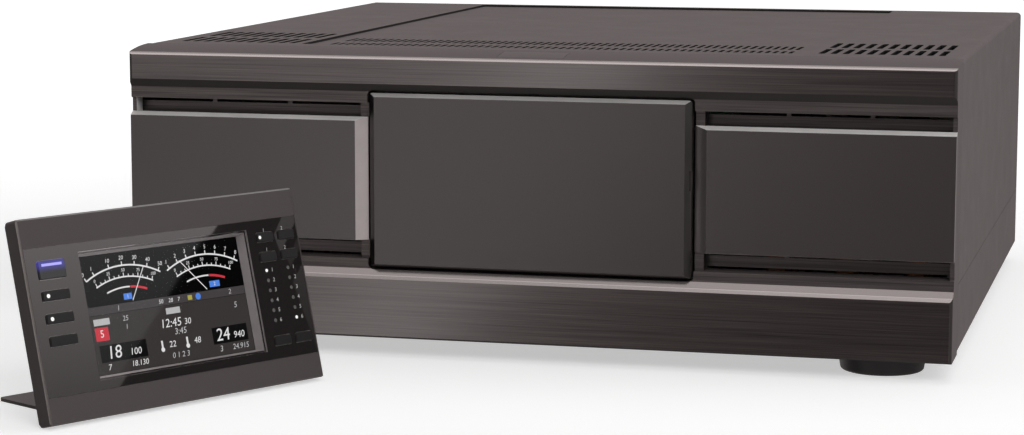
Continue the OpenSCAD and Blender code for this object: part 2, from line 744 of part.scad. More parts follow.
module pa_board() color(board_green) set_down() difference() {
    translate([-sink_x + 3, sink_y[0] + 4, sink_top])
        cube([2 * sink_x - 6, sink_y[1] - sink_y[0] - 8, pa_board_t]);
    for (at = device_at) translate([at[0] - 18, at[1] - 8, sink_top - cut])
        cube([36, 16, pa_board_t + 2 * cut]);
}

// Flange-mount power transistors bolted to the heat sink
module pa_transistors() color("#d8d4cc") set_down() for (at = device_at)
    translate([at[0], at[1], sink_top]) difference() {
        union() {
            translate([-17, -5, 0]) cube([34, 10, 1.6]);
            translate([-10.5, -5, 1.5]) cube([21, 10, 3.6]);
            translate([-8, -7.5, 2]) cube([6.5, 15, 0.3]);
            translate([1.5, -7.5, 2]) cube([6.5, 15, 0.3]);
        }
        for (x = [-14, 14]) translate([x, 0, -cut]) cylinder(r = 1.6, h = 4);
    }

// Two-hole ferrite transformers on the board beside each pair of transistors
module output_transformers() color("#33302f") set_down() for (i = [0:3])
    translate([0, sink_y[0] + 48 + i * pa_pitch, sink_top + pa_board_t])
        along_y(-16, 16) difference() {
            translate([-14, 0]) round_rect([28, 15], 7);
            for (x = [-6.5, 6.5]) translate([x, 7.5]) circle(3.2);
        }

// ---------------------------------------------------------------- filter and tuner

rf_z = z0 + sheet_t + pillar_h;
rf_t = 1.6;

module rf_board(y) {
    translate([rf_x[0], y[0], rf_z]) cube([rf_x[1] - rf_x[0], y[1] - y[0], rf_t]);
}

module filter_board() color(board_green) set_down() rf_board(filter_y);
module tuner_board() color(board_green) set_down() rf_board(tuner_y);

toroid = [13, 7, 12];                 // outer radius, inner radius, height of a wound core

// Wound toroids of the low-pass filters, standing on edge in two rows
module filter_coils() color("#b0703a") set_down() for (col = [0:2], row = [0:2])
    translate([rf_x[0] + 22 + col * 36, filter_y[0] + 22 + row * 40,
        rf_z + rf_t + toroid[0]])
        rotate([0, 90, 0]) translate([0, 0, -toroid[2] / 2]) rotate_extrude()
            translate([toroid[1], 0]) round_rect([toroid[0] - toroid[1], toroid[2]], 2);

// Air-wound tuner coils: plain tubes with their end lugs on the board
module tuner_coils() color("#c98a4b") set_down() for (i = [0:1]) {
    r = 21;
    l = 60;
    y = tuner_y[0] + 24 + i * 78;
    translate([rf_x[0] + 30, y, rf_z + rf_t + r + 3]) difference() {
        union() {
            rod_y(r, 0, l);
            for (end = [0, l - 4]) translate([-6, end, -r - 3]) cube([12, 4, r]);
        }
        rod_y(r - 3, -cut, l + cut);
    }
}

relay_size = [16, 24, 20];
module tuner_relays() color("#2b2b2d") set_down() for (col = [0:1], row = [0:4])
    translate([rf_x[0] + 66 + col * 22, tuner_y[0] + 14 + row * 32, rf_z + rf_t])
        cube(relay_size);

// Logic board on edge behind the dock, on two feet
module control_board() color(board_green) set_down() {
    y = frame_d + 14;
    w = 150;
    low = z0 + frame_wall + lap_t;
    translate([-w / 2, y, low + 4]) cube([w, 1.6, 96]);
    for (x = [-w / 2 + 6, w / 2 - 18]) translate([x, y - 5, low]) cube([12, 11.6, 8]);
    for (i = [0:3]) translate([-w / 2 + 16 + i * 32, y + 1.5, low + 50]) cube([18, 3, 18]);
}

// ---------------------------------------------------------------- fans

fan_hole = 35.75;                     // half the spacing of the fan's screw holes
hub_r = 17.5;
fan_y0 = rear_y - fan_t;

// Square fan housing: flanges, duct, struts, motor seat and pin
module fan_frame(x) color(rubber_black) set_down() translate([x, fan_y0, fan_z]) {
    half = fan_size / 2;
    flange = 4;
    difference() {
        union() {
            for (y = [0, fan_t - flange]) along_y(y, y + flange)
                round_rect_mid([fan_size, fan_size], 4);
            rod_y(half - 0.2, 0, fan_t);
        }
        rod_y(fan_bore_r, -cut, fan_t + cut);
        for (sx = [-1, 1], sz = [-1, 1]) translate([sx * fan_hole, 0, sz * fan_hole])
            rod_y(2.2, -cut, fan_t + cut);
    }
    for (turn = [45:90:315]) rotate([0, turn, 0]) translate([hub_r - 2, 0, -1.5])
        cube([fan_bore_r - hub_r + 2.6, 3, 3]);
    rod_y(hub_r, 0, 4);
    rod_y(fan_pin_r, 4, fan_t - 3);
}

module left_fan_frame() fan_frame(fan_x[0]);
module right_fan_frame() fan_frame(fan_x[1]);

// Blade section as (depth, turning direction): a strip between two arcs through both edges
blade_depth = 15;
blade_rise = 14;
blade_bend_r = 22;
blade_t = 1.2;
module blade_section() {
    chord = norm([blade_depth, blade_rise]);
    reach = sqrt(blade_bend_r * blade_bend_r - chord * chord / 4);
    intersection() {
        translate([0, -blade_rise / 2]) square([blade_depth, blade_rise]);
        translate([blade_depth / 2 + reach * blade_rise / chord, -reach * blade_depth / chord])
            difference() {
                circle(blade_bend_r);
                circle(blade_bend_r - blade_t);
            }
    }
}

// Rotor: cup, bore on the pin and curved blades
module fan_rotor(x) color("#232326") set_down() translate([x, fan_y0, fan_z]) {
    y0 = 4.6;
    y1 = fan_t - 2;
    difference() {
        union() {
            rod_y(hub_r, y0, y1);
            intersection() {
                rod_y(blade_r, y0, y1);
                for (i = [0:blade_n - 1]) rotate([0, i * 360 / blade_n, 0])
                    translate([hub_r - 2, y0 + 0.8, 0]) rotate([90, 0, 90])
                        linear_extrude(blade_r - hub_r + 3) blade_section();
            }
        }
        rod_y(fan_pin_r + run_gap, y0 - cut, fan_t - 3 + 0.5);
        difference() {
            rod_y(hub_r - 1.5, y0 - cut, y1 - 2);
            rod_y(4, y0 - 2 * cut, y1);
        }
    }
}

module left_fan_rotor() fan_rotor(fan_x[0]);
module right_fan_rotor() fan_rotor(fan_x[1]);

// Wire guards: rings on four spokes, with eyes at the screw holes
module fan_guards() color(bare_metal) set_down() for (x = fan_x) on_rear([x, fan_z]) {
    wire = 0.9;
    for (r = [10:7:38]) translate([0, 2.7, 0]) rotate([-90, 0, 0]) rotate_extrude()
        translate([r, 0]) circle(wire, $fn = 16);
    for (turn = [45:90:315]) rotate([0, turn, 0]) {
        translate([8, 0.9, 0]) rotate([0, 90, 0])
            cylinder(r = wire, h = fan_hole * sqrt(2) - 8, $fn = 16);
        translate([fan_hole * sqrt(2), 0, 0]) difference() {
            rod_y(4, 0, 1.8);
            rod_y(2.2, -cut, 3);
        }
    }
}

// ---------------------------------------------------------------- sockets

// Coaxial panel socket: flange, threaded barrel, insulator and centre contact
module coax_socket() {
    difference() {
        union() {
            along_y(0, 3.2) round_rect_mid([coax_flange, coax_flange], 2);
            rod_y(coax_r, -rear_t - 6, coax_l + 3.2);
        }
        for (sx = [-1, 1], sz = [-1, 1]) translate([sx * 9.15, 0, sz * 9.15])
            rod_y(1.6, -cut, 3.2 + cut);
        difference() {
            rod_y(coax_r - 1.3, 3.2 + coax_l - 8, 3.2 + coax_l + cut);
            rod_y(3.6, 0, coax_l);
        }
        rod_y(1.95, 3.2 + coax_l - 10, 3.2 + coax_l + cut);
    }
}

module coax_sockets() color(bare_metal) set_down()
    for (at = concat(coax_at, input_at)) on_rear(at) coax_socket();

module ground_stud() color(bare_metal) set_down() on_rear(ground_at) {
    rod_y(ground_r, -rear_t - stud_seat, ground_l);
    translate([0, -rear_t - 3, 0]) rotate([-90, 0, 0]) cylinder(r = 5.5, h = 3, $fn = 6);
}

// Wing nut on the ground stud
module ground_nut() color(bare_metal) set_down() on_rear(ground_at) difference() {
    union() {
        rod_y(5.5, 0, 5);
        for (side = [-1, 1]) translate([side * 8, 0, 0]) along_y(1, 8)
            round_rect_mid([9, 2.4], 1.1);
    }
    rod_y(ground_r + run_gap, -cut, 9);
}

// Mains inlet: flanged shell with a recess and three blades
module mains_inlet() color(rubber_black) set_down() on_rear(inlet_at) {
    difference() {
        union() {
            along_y(0, 2.4) round_rect_mid([50, 26], 4);
            along_y(-24, 0.1) round_rect_mid(inlet_size, 2);
        }
        along_y(-18, 3) round_rect_mid([inlet_size[0] - 3, inlet_size[1] - 3], 1.5);
        for (x = [-20, 20]) translate([x, 0, 0]) rod_y(1.7, -cut, 3);
    }
    for (at = [[0, 4], [-7, -4], [7, -4]]) translate([at[0] - 1, -18.1, at[1] - 2])
        cube([2, 14, 4]);
}

breaker_pivot = [-6, 0];              // depth of the rocker's pin, height above the middle
rocker_tilt = 12;
rocker_half = 14;

// Breaker housing with the cross pin of its rocker
module breaker_frame() color(rubber_black) set_down() on_rear(breaker_at) {
    difference() {
        union() {
            along_y(0, 2) round_rect_mid([breaker_size[0] + 4, breaker_size[1] + 4], 2);
            along_y(-26, 0.1) round_rect_mid(breaker_size, 1.5);
        }
        along_y(-16, 2 + cut) square([breaker_size[0] - 6, 2 * rocker_half + 3.4], center = true);
    }
    translate([-breaker_size[0] / 2 + 1, breaker_pivot[0], 0]) rotate([0, 90, 0])
        cylinder(r = 1.5, h = breaker_size[0] - 2);
}

// Rocker outline as (Y, Z): two faces that meet at the middle
module breaker_rocker() color("#2a2a2c") set_down() on_rear(breaker_at) difference() {
    translate([0, breaker_pivot[0], 0]) rotate([rocker_tilt, 0, 0])
        along_x(-breaker_size[0] / 2 + 3.4, breaker_size[0] / 2 - 3.4) difference() {
            polygon([[-4, -9], [4, -rocker_half], [9.5, -rocker_half + 1], [6.4, 0],
                [9.5, rocker_half - 1], [4, rocker_half], [-4, 9]]);
            circle(1.5 + run_gap);
        }
}

// Phono jacks: insulated shells through the panel with a ring outside
module phono_jacks() color(bare_metal) set_down() for (at = phono_at) on_rear(at) difference() {
    union() {
        rod_y(phono_r, -rear_t - 8, 9);
        rod_y(6.5, 0, 1.5);
    }
    rod_y(1.7, -5, 9 + cut);
}

// Round multi-pin control sockets
module control_jacks() color(rubber_black) set_down() for (at = control_at) on_rear(at)
    difference() {
        union() {
            rod_y(control_r, -rear_t - 8, 1);
            along_y(0, 1.5) round_rect_mid([21, 17], 3);
        }
        rod_y(control_r - 1, -7, 2);
    }

// ---------------------------------------------------------------- controller housing

ctl_edge = 1.2;                        // width of the light edge round the face
fascia_t = 2;
fascia_y = 0.3;
fascia_size = [ctl_w - 2 * ctl_edge - 2 * fit, ctl_h - ctl_band[0] - ctl_band[1] - 2 * fit];
fascia_at = [ctl_edge + fit, ctl_band[1] + fit];
web_y = fascia_y + fascia_t;           // front of the web behind the fascia
web_t = 2;
display_y = fascia_y + screen_deep;
display_t = 4;
display_size = [screen_size[0] + 4, screen_size[1] + 3];
display_at = screen_at - (display_size - screen_size) / 2;
board_y = display_y + display_t;

// Key places on the face: X and Z of their middles, measured from the lower left corner
left_x = 14.8;
right_x = [142, 155.4];
power_at = [left_x, 69.8];
tuner_at = [left_x, 58];
amp_at = [left_x, 47.5];
protect_at = [left_x, 37.3];
input_at_z = 71.6;
antenna_at_z = 62;
menu_at_z = 20.9;
lamp_x = [139.8, 153.4];
lamp_z = 55.4;
keys_left = [tuner_at, amp_at, protect_at];
keys_right = [for (x = right_x, z = [input_at_z, antenna_at_z, menu_at_z]) [x, z]];
lamps = [for (x = lamp_x, i = [0:5]) [x, lamp_z - i * lamp_step]];

// Key openings as (X, Z), larger than the keys by the given gap
module key_openings(gap) {
    translate(power_at) round_rect_mid(power_key + [2 * gap, 2 * gap], 1 + gap);
    for (at = keys_left) translate(at) round_rect_mid(left_key + [2 * gap, 2 * gap], 0.8 + gap);
    for (at = keys_right) translate(at) round_rect_mid(right_key + [2 * gap, 2 * gap], 0.8 + gap);
}

// Light sloping frame of the screen, as the solid space inside it
module screen_funnel() {
    y0 = fascia_y + window_t;
    y1 = display_y;
    ledge = 1;
    inner = (screen_size - glass_size) / 2;
    intersection() {
        translate([0, 0, screen_at[1]]) linear_extrude(screen_size[1]) polygon([
            [screen_at[0] + ledge, y0], [screen_at[0] + inner[0], y1 + cut],
            [screen_at[0] + screen_size[0] - inner[0], y1 + cut],
            [screen_at[0] + screen_size[0] - ledge, y0]]);
        along_x(screen_at[0], screen_at[0] + screen_size[0]) polygon([
            [y0, screen_at[1] + ledge], [y1 + cut, screen_at[1] + inner[1]],
            [y1 + cut, screen_at[1] + screen_size[1] - inner[1]],
            [y0, screen_at[1] + screen_size[1] - ledge]]);
    }
}

module controller_front() color(case_plastic) controller_place() difference() {
    bevelled([ctl_w, ctl_h], 1.6, 0, rim_d, [0.8, 0.8, 0.8]);
    along_y(-cut, web_y) translate([ctl_edge, ctl_band[1]])
        square([ctl_w - 2 * ctl_edge, ctl_h - ctl_band[0] - ctl_band[1]]);
    difference() {
        along_y(web_y + web_t, rim_d + cut) translate([ctl_wall, ctl_wall])
            square([ctl_w - 2 * ctl_wall, ctl_h - 2 * ctl_wall]);
        for (at = ctl_screw_at) translate([at[0], 0, at[1]]) rod_y(ctl_boss_r, 0, rim_d);
    }
    for (at = ctl_screw_at) translate([at[0], 0, at[1]])
        rod_y(ctl_screw_r + run_gap, rim_d - ctl_screw_in - 0.5, rim_d + cut);
    along_y(-cut, rim_d + cut) {
        key_openings(key_gap + 0.3);
        translate(display_at - [fit, fit]) square(display_size + [2 * fit, 2 * fit]);
        for (at = lamps) translate(at) circle(lamp_r + 0.3);
    }
}

module fascia() color(fascia_black) controller_place() difference() {
    union() {
        along_y(fascia_y, fascia_y + fascia_t) translate(fascia_at) square(fascia_size);
        along_y(fascia_y, display_y) translate(display_at) square(display_size);
    }
    along_y(fascia_y - cut, fascia_y + window_t) translate(screen_at) square(screen_size);
    screen_funnel();
    along_y(fascia_y - cut, web_y + cut) {
        key_openings(key_gap);
        for (at = lamps) translate(at) circle(lamp_r + 0.1);
    }
}

module window() color("#88909a55") controller_place()
    along_y(fascia_y, fascia_y + window_t) translate(screen_at + [0.1, 0.1])
        square(screen_size - [0.2, 0.2]);

module display() color("#101216") controller_place()
    along_y(display_y, display_y + display_t) translate(display_at) square(display_size);

// Key board round the display, main board behind it, and the spacers between the two
board_size = [ctl_w - 2 * hump_in - 2 * ctl_wall - 1, ctl_h - 2 * hump_in - 2 * ctl_wall - 1];
key_board_y = rim_d - 1.5;
key_board_t = 1.2;
module controller_board() color(board_green) controller_place() {
    along_y(key_board_y, key_board_y + key_board_t) difference() {
        translate([ctl_wall + 1, ctl_wall + 1])
            square([ctl_w - 2 * ctl_wall - 2, ctl_h - 2 * ctl_wall - 2]);
        translate(display_at - [0.5, 0.5]) square(display_size + [1, 1]);
        for (at = ctl_screw_at) translate(at) circle(ctl_boss_r + 0.5);
    }
    along_y(board_y, board_y + 1.6) translate([(ctl_w - board_size[0]) / 2,
        (ctl_h - board_size[1]) / 2]) square(board_size);
    for (x = [display_at[0] - 5, display_at[0] + display_size[0] + 5], z = [24, 68])
        translate([x, 0, z]) rod_y(2.2, key_board_y + key_board_t - 0.1, board_y + 0.1);
    for (x = [40, 90], z = [30, 56]) along_y(board_y + 1.5, board_y + 4) translate([x, z])
        square([14, 14]);
}

// Back moulding: rim plate, hump over the electronics and the two hinge lugs
lug_x = [30, ctl_w - 30];
lug_w = 7;
hinge_at = [hump_d - 1, 6.4];          // depth and height of the stand's hinge line
module controller_back() color(case_plastic) controller_place() difference() {
    union() {
        along_y(rim_d, rim_d + ctl_wall) translate([1, 1]) round_rect([ctl_w - 2, ctl_h - 2], 1.2);
        along_y(rim_d, hump_d) translate([hump_in, hump_in])
            round_rect([ctl_w - 2 * hump_in, ctl_h - 2 * hump_in], 3);
        for (x = lug_x) along_x(x - lug_w / 2, x + lug_w / 2) difference() {
            union() {
                translate(hinge_at) circle(knuckle_r);
                translate([hinge_at[0] - knuckle_r, hinge_at[1]])
                    square([knuckle_r + 1, hump_in - hinge_at[1] + 1]);
            }
            translate(hinge_at) circle(hinge_r + run_gap);
        }
    }
    along_y(rim_d - cut, hump_d - ctl_wall) translate([hump_in + ctl_wall, hump_in + ctl_wall])
        square([ctl_w - 2 * (hump_in + ctl_wall), ctl_h - 2 * (hump_in + ctl_wall)]);
    for (at = ctl_screw_at) translate([at[0], 0, at[1]])
        rod_y(ctl_screw_r + run_gap, rim_d - cut, rim_d + ctl_wall + cut);
    translate([jack_at[0] - jack_size[0] / 2, hump_d - ctl_wall - cut, jack_at[1]
        - jack_size[1] / 2]) cube([jack_size[0], ctl_wall + 2 * cut, jack_size[1]]);
}

ctl_screw_r = 1.2;
ctl_screw_in = 3;                      // how far the screws reach into the front moulding
ctl_boss_r = 3.2;
ctl_screw_at = [for (x = [6.5, ctl_w - 6.5], z = [6.5, ctl_h - 6.5]) [x, z]];
module controller_screws() color(bare_metal) controller_place()
    for (at = ctl_screw_at) translate([at[0], rim_d + ctl_wall, at[1]]) {
        difference() {
            rod_y(2.3, 0, 1.4);
            for (turn = [0, 90]) rotate([0, turn, 0]) translate([-1.3, 0.6, -0.25])
                cube([2.6, 1, 0.5]);
        }
        rod_y(ctl_screw_r, -ctl_wall - ctl_screw_in, 0.1);
    }

jack_at = [124, 71];
jack_size = [15.6, 13.4];
module controller_jack() color("#2b2b2d") controller_place()
    translate([jack_at[0], 0, jack_at[1]]) difference() {
        along_y(board_y + 1.6, hump_d + 0.3) square(jack_size - [0.4, 0.4], center = true);
        along_y(board_y + 3, hump_d + 0.3 + cut) square([12, 8.4], center = true);
    }

// ---------------------------------------------------------------- keys and lamps

// Key cap with a stem that ends one travel above its switch on the key board
module key(at, size, r, travel) color(case_plastic) controller_place() {
    stem = [3, 2.4];
    along_y(fascia_y - key_out + 0.3, web_y + 1) translate(at) round_rect_mid(size, r);
    along_y(fascia_y - key_out, fascia_y - key_out + 0.31) translate(at)
        round_rect_mid(size - [0.6, 0.6], r - 0.3);
    along_y(web_y + 0.9, key_board_y - travel - 0.1) translate(at) square(stem, center = true);
}

module key_power() key(power_at, power_key, 1, power_travel);
module key_tuner() key(tuner_at, left_key, 0.8, key_travel);
module key_amp() key(amp_at, left_key, 0.8, key_travel);
module key_protect() key(protect_at, left_key, 0.8, key_travel);
module key_input_1() key([right_x[0], input_at_z], right_key, 0.8, key_travel);
module key_input_2() key([right_x[1], input_at_z], right_key, 0.8, key_travel);
module key_antenna_1() key([right_x[0], antenna_at_z], right_key, 0.8, key_travel);
module key_antenna_2() key([right_x[1], antenna_at_z], right_key, 0.8, key_travel);
module key_menu() key([right_x[0], menu_at_z], right_key, 0.8, key_travel);
module key_function() key([right_x[1], menu_at_z], right_key, 0.8, key_travel);

module indicator_lamps() color("#e8e6e0") controller_place()
    for (at = lamps) translate([at[0], 0, at[1]]) rod_y(lamp_r, fascia_y + 0.1, key_board_y);

// ---------------------------------------------------------------- stand

// The hinge line's height over the desk and its distance behind the front lower edge
hinge_z = (rim_d - hinge_at[0]) * sin(ctl_lean) + hinge_at[1] * cos(ctl_lean);
hinge_b = hinge_at[0] * cos(ctl_lean) + hinge_at[1] * sin(ctl_lean);

// Puts a shape drawn about the hinge line, upright on the desk, into the set's frame
module stand_place() {
    set_down() translate([ctl_at[0], ctl_at[1], 0]) rotate([0, 0, ctl_turn])
        translate([ctl_w / 2, hinge_b, 0]) children();
}

// Stand plate flat on the desk, with two knuckles inside the lugs and a cable notch
module stand() color(case_plastic) stand_place() {
    knuckle_w = 10;
    inner = ctl_w / 2 - 30 - lug_w / 2 - 0.3;
    translate([0, 1, 0]) linear_extrude(stand_t) difference() {
        translate([-stand_w / 2, knuckle_r]) round_rect([stand_w, stand_l - knuckle_r], 3);
        translate([-12, stand_l - 9]) round_rect([24, 20], 4);
    }
    for (side = [-1, 1]) {
        x = side > 0 ? inner - knuckle_w : -inner;
        along_x(x, x + knuckle_w) difference() {
            union() {
                translate([0, hinge_z]) circle(knuckle_r - 0.1);
                polygon([[-0.5, hinge_z - knuckle_r + 0.1], [knuckle_r + 2, 0.3],
                    [knuckle_r + 2, stand_t], [1, hinge_z + knuckle_r - 0.15]]);
            }
            translate([0, hinge_z]) circle(hinge_r + run_gap);
        }
    }
}

module stand_pin() color(bare_metal) stand_place() for (side = [-1, 1])
    translate([side * (ctl_w / 2 - 34) - 10, 0, hinge_z]) rotate([0, 90, 0])
        cylinder(r = hinge_r, h = 20);

// ---------------------------------------------------------------- assembly

front_frame();
left_front_plate();
right_front_plate();
dock_cover();
release_tab();
bottom_tray();
top_cover();
rear_panel();
case_screws();
feet();
foot_screws();
supply_case();
supply_board();
supply_capacitors();
supply_transformer();
heat_sink();
pa_board();
pa_transistors();
output_transformers();
filter_board();
filter_coils();
tuner_board();
tuner_coils();
tuner_relays();
control_board();
left_fan_frame();
right_fan_frame();
left_fan_rotor();
right_fan_rotor();
fan_guards();
coax_sockets();
ground_stud();
ground_nut();
mains_inlet();
breaker_frame();
breaker_rocker();
phono_jacks();
control_jacks();
controller_front();
controller_back();
fascia();
window();
display();
controller_board();
key_power();
key_tuner();
key_amp();
key_protect();
key_input_1();
key_input_2();
key_antenna_1();
key_antenna_2();
key_menu();
key_function();
indicator_lamps();
stand();
stand_pin();
controller_screws();
controller_jack();
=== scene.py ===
import json
import math

import bmesh
import bpy
from mathutils import Matrix, Vector

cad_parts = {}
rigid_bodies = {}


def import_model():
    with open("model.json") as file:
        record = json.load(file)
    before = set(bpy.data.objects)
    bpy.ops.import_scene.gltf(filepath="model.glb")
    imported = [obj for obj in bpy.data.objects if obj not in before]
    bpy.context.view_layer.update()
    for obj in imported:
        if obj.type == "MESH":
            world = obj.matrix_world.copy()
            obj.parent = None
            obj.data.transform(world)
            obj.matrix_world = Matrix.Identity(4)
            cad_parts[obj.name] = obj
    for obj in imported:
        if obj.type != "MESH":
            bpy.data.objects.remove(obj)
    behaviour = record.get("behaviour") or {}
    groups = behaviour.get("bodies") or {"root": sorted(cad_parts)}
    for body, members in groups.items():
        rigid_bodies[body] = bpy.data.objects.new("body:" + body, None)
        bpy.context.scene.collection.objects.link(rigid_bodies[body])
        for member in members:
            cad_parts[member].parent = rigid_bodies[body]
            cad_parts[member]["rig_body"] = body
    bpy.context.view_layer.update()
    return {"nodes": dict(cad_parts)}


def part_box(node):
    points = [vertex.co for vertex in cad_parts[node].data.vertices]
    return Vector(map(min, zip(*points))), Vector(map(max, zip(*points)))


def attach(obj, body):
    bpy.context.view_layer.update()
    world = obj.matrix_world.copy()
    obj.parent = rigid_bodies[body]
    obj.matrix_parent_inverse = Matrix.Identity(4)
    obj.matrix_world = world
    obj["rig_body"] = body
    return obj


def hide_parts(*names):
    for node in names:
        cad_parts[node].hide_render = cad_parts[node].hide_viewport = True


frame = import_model()
nodes = frame["nodes"]

MM = 0.001
FORWARD = (0.0, -1.0, 0.0)
INWARD = (0.0, 1.0, 0.0)
UP = (0.0, 0.0, 1.0)
RIGHT = (1.0, 0.0, 0.0)

# ---- places, in metres

front_low, front_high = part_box("front_frame")
FRONT_Y = front_low.y
CASE_TOP = front_high.z
HALF_W = front_high.x
REAR_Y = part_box("rear_panel")[1].y

# The controller's own frame, in millimetres: X along its face, Y into it, Z up its face
CTL_TURN = math.radians(60.5)
CTL_LEAN = math.radians(14.5)
CTL_RIM = 8.5 * MM
CTL_CORNER = Vector((-166 * MM, FRONT_Y - 209 * MM, 0))
controller_place = (
    Matrix.Translation(CTL_CORNER)
    @ Matrix.Rotation(CTL_TURN, 4, "Z")
    @ Matrix.Translation((0, 0, CTL_RIM * math.sin(CTL_LEAN)))
    @ Matrix.Rotation(-CTL_LEAN, 4, "X")
    @ Matrix.Scale(MM, 4)
)
CTL_FORWARD = tuple(-controller_place.to_3x3().col[1].normalized())
CTL_UP = tuple(controller_place.to_3x3().col[2].normalized())

# The rear panel's own frame, in millimetres, as seen from behind: X to the right there
rear_place = (Matrix.Translation((0, REAR_Y, 0)) @ Matrix.Rotation(math.pi, 4, "Z")
              @ Matrix.Scale(MM, 4))

# ---- places on the controller, mm

FASCIA_FRONT = 0.3
KEY_FRONT = -0.6
SCREEN_FRONT = 6.3
INK = 0.03  # how far light and ink stand off a key or the rear panel
FASCIA_INK = 0.02  # and off the fascia

screen_place = controller_place @ Matrix.Translation((33.55, 0, 18.75))
SCREEN_W, SCREEN_H = 95.4, 55.2

LEFT_KEYS_X = 14.8
POWER_KEY_Z = 65.5
POWER_BAR_Z = 71.5
POWER_BAR_SIZE = (11.2, 1.2)
KEY_DOT_X = LEFT_KEYS_X - 4.6
KEY_DOTS = (("key_tuner", 58.0), ("key_amp", 47.5))
RIGHT_KEYS_X = (142.0, 153.6)
RIGHT_KEY_FIGURES_Z = (74.9, 65.4)
INPUT_DOT = (RIGHT_KEYS_X[0] - 3.6, 71.6)
KEY_DOT_RADIUS, INPUT_DOT_RADIUS = 0.95, 0.85
LAMP_COLUMNS = (139.8, 153.4)
LAMP_TOP_Z, LAMP_STEP_Z = 55.4, 4.9
LAMP_ROWS = [LAMP_TOP_Z - LAMP_STEP_Z * row for row in range(6)]
LAMP_RADIUS = 0.8
LAMP_DEPTH = 0.05  # how far a lamp's light lies behind the fascia's front
LAMP_FIGURE_AWAY = 3.4
LAMP_FIGURE_H, KEY_FIGURE_H, NUMERAL_SLANT = 1.9, 1.7, 0.1

# ---- colours, scene-linear

WHITE = (1.0, 1.0, 1.0, 1.0)
WARM = (1.0, 0.91, 0.905, 1.0)
BLACK = (0.0, 0.0, 0.0)
COVER_COLOR = (0.108, 0.090, 0.090)
# Painted shade: near black on the cover's slot walls and insides
COVER_SHADE_COLOR = (0.004, 0.004, 0.004)
# Painted shade on the front frame's faces that don't face forward, its undercut slopes above
# all
RECESS_SHADE_COLOR = (0.030, 0.026, 0.025)
# Painted shade: black in the slots at the back of the front frame's recess
SLOT_SHADE_COLOR = (0.006, 0.006, 0.006)
BAND_COLOR = (0.049, 0.040, 0.039)
LIP_COLOR = (0.076, 0.066, 0.064)
# Painted highlight: near white on the inner faces of the front frame's cheeks
CHEEK_HIGHLIGHT_COLOR = (0.80, 0.77, 0.76)
EDGE_COLOR = (0.52, 0.50, 0.495)
LOWER_EDGE_COLOR = (0.32, 0.305, 0.30)
PLATE_COLOR = (0.054, 0.045, 0.044)
PLATE_BEVEL_COLOR = (0.46, 0.44, 0.44)
# Painted highlight on the plates' top bevels
PLATE_TOP_HIGHLIGHT_COLOR = (0.80, 0.77, 0.76)
DOCK_COLOR = (0.050, 0.042, 0.041)
DOCK_BEVEL_COLOR = (0.09, 0.085, 0.083)
# Painted highlight on the dock cover's top bevel
DOCK_TOP_HIGHLIGHT_COLOR = (0.55, 0.53, 0.52)
CASE_COLOR = (0.078, 0.066, 0.065)
# Painted highlights on the controller case's side and top bevels
CASE_BEVEL_HIGHLIGHT_COLOR = (0.21, 0.20, 0.196)
CASE_TOP_HIGHLIGHT_COLOR = (0.26, 0.25, 0.245)
FASCIA_COLOR = (0.016, 0.013, 0.0135)
SCREEN_FRAME_COLOR = (0.20, 0.185, 0.182)
POWER_KEY_COLOR = (0.013, 0.012, 0.014)
POWER_GLOW_COLOR = (0.030, 0.028, 0.24)
STEEL_COLOR = (0.56, 0.56, 0.57)
NICKEL_COLOR = (0.66, 0.64, 0.60)
BOARD_COLOR = (0.012, 0.075, 0.032)
TRACK_COLOR = (0.03, 0.14, 0.06)
SOLDER_COLOR = (0.55, 0.54, 0.5)
WIRE_GAP_COLOR = (0.10, 0.03, 0.01)
WIRE_COLOR = (0.32, 0.13, 0.05)
REAR_COLOR = (0.06, 0.055, 0.054)
INNER_STEEL_COLOR = (0.10, 0.10, 0.10)
ALLOY_COLOR = (0.45, 0.455, 0.46)
MOULDING_COLOR = (0.014, 0.014, 0.015)
KEY_COLOR = (0.011, 0.010, 0.010)
RUBBER_COLOR = (0.012, 0.012, 0.012)
FERRITE_COLOR = (0.035, 0.033, 0.033)
CERAMIC_COLOR = (0.70, 0.67, 0.60)
SLEEVE_COLOR = (0.02, 0.03, 0.09)
SCREEN_OFF_COLOR = (0.002, 0.002, 0.002)
LAMP_OFF_COLOR = (0.10, 0.098, 0.095)
LAMP_LIGHT = (0.92, 0.92, 0.90)
POWER_LIGHT = (0.42, 0.40, 0.95)
# Painted glow of the printed numerals on the fascia
NUMERAL_LIGHT = (0.42, 0.42, 0.41)
REAR_INK_COLOR = (0.55, 0.54, 0.53)


# ---- objects and meshes

def new_object(name, data):
    """Object in the scene, at the origin."""
    made = bpy.data.objects.new(name, data)
    bpy.context.scene.collection.objects.link(made)
    return made


def mesh_from(bm, name):
    """Mesh made of a bmesh, which is freed."""
    mesh = bpy.data.meshes.new(name)
    bm.to_mesh(mesh)
    bm.free()
    return mesh


# ---- nodes

def feed(tree, socket, value):
    """Joins another socket to this one, or writes a constant on it."""
    if isinstance(value, bpy.types.NodeSocket):
        tree.links.new(value, socket)
    else:
        socket.default_value = value


def feed_node(tree, node, **values):
    """Feeds inputs of a node by their names; underscores stand for spaces."""
    for name, value in values.items():
        feed(tree, node.inputs[name.replace("_", " ")], value)


def math_node(tree, operation, *values, clamp=False):
    """Math node on sockets or numbers; returns its output socket."""
    node = tree.nodes.new("ShaderNodeMath")
    node.operation = operation
    node.use_clamp = clamp
    for socket, value in zip(node.inputs, values):
        feed(tree, socket, value)
    return node.outputs[0]


def noise(tree, vector, scale, detail, rough):
    """Noise texture on a vector socket; returns its factor."""
    node = tree.nodes.new("ShaderNodeTexNoise")
    feed_node(tree, node, Vector=vector, Scale=scale, Detail=detail, Roughness=rough)
    return node.outputs["Fac"]


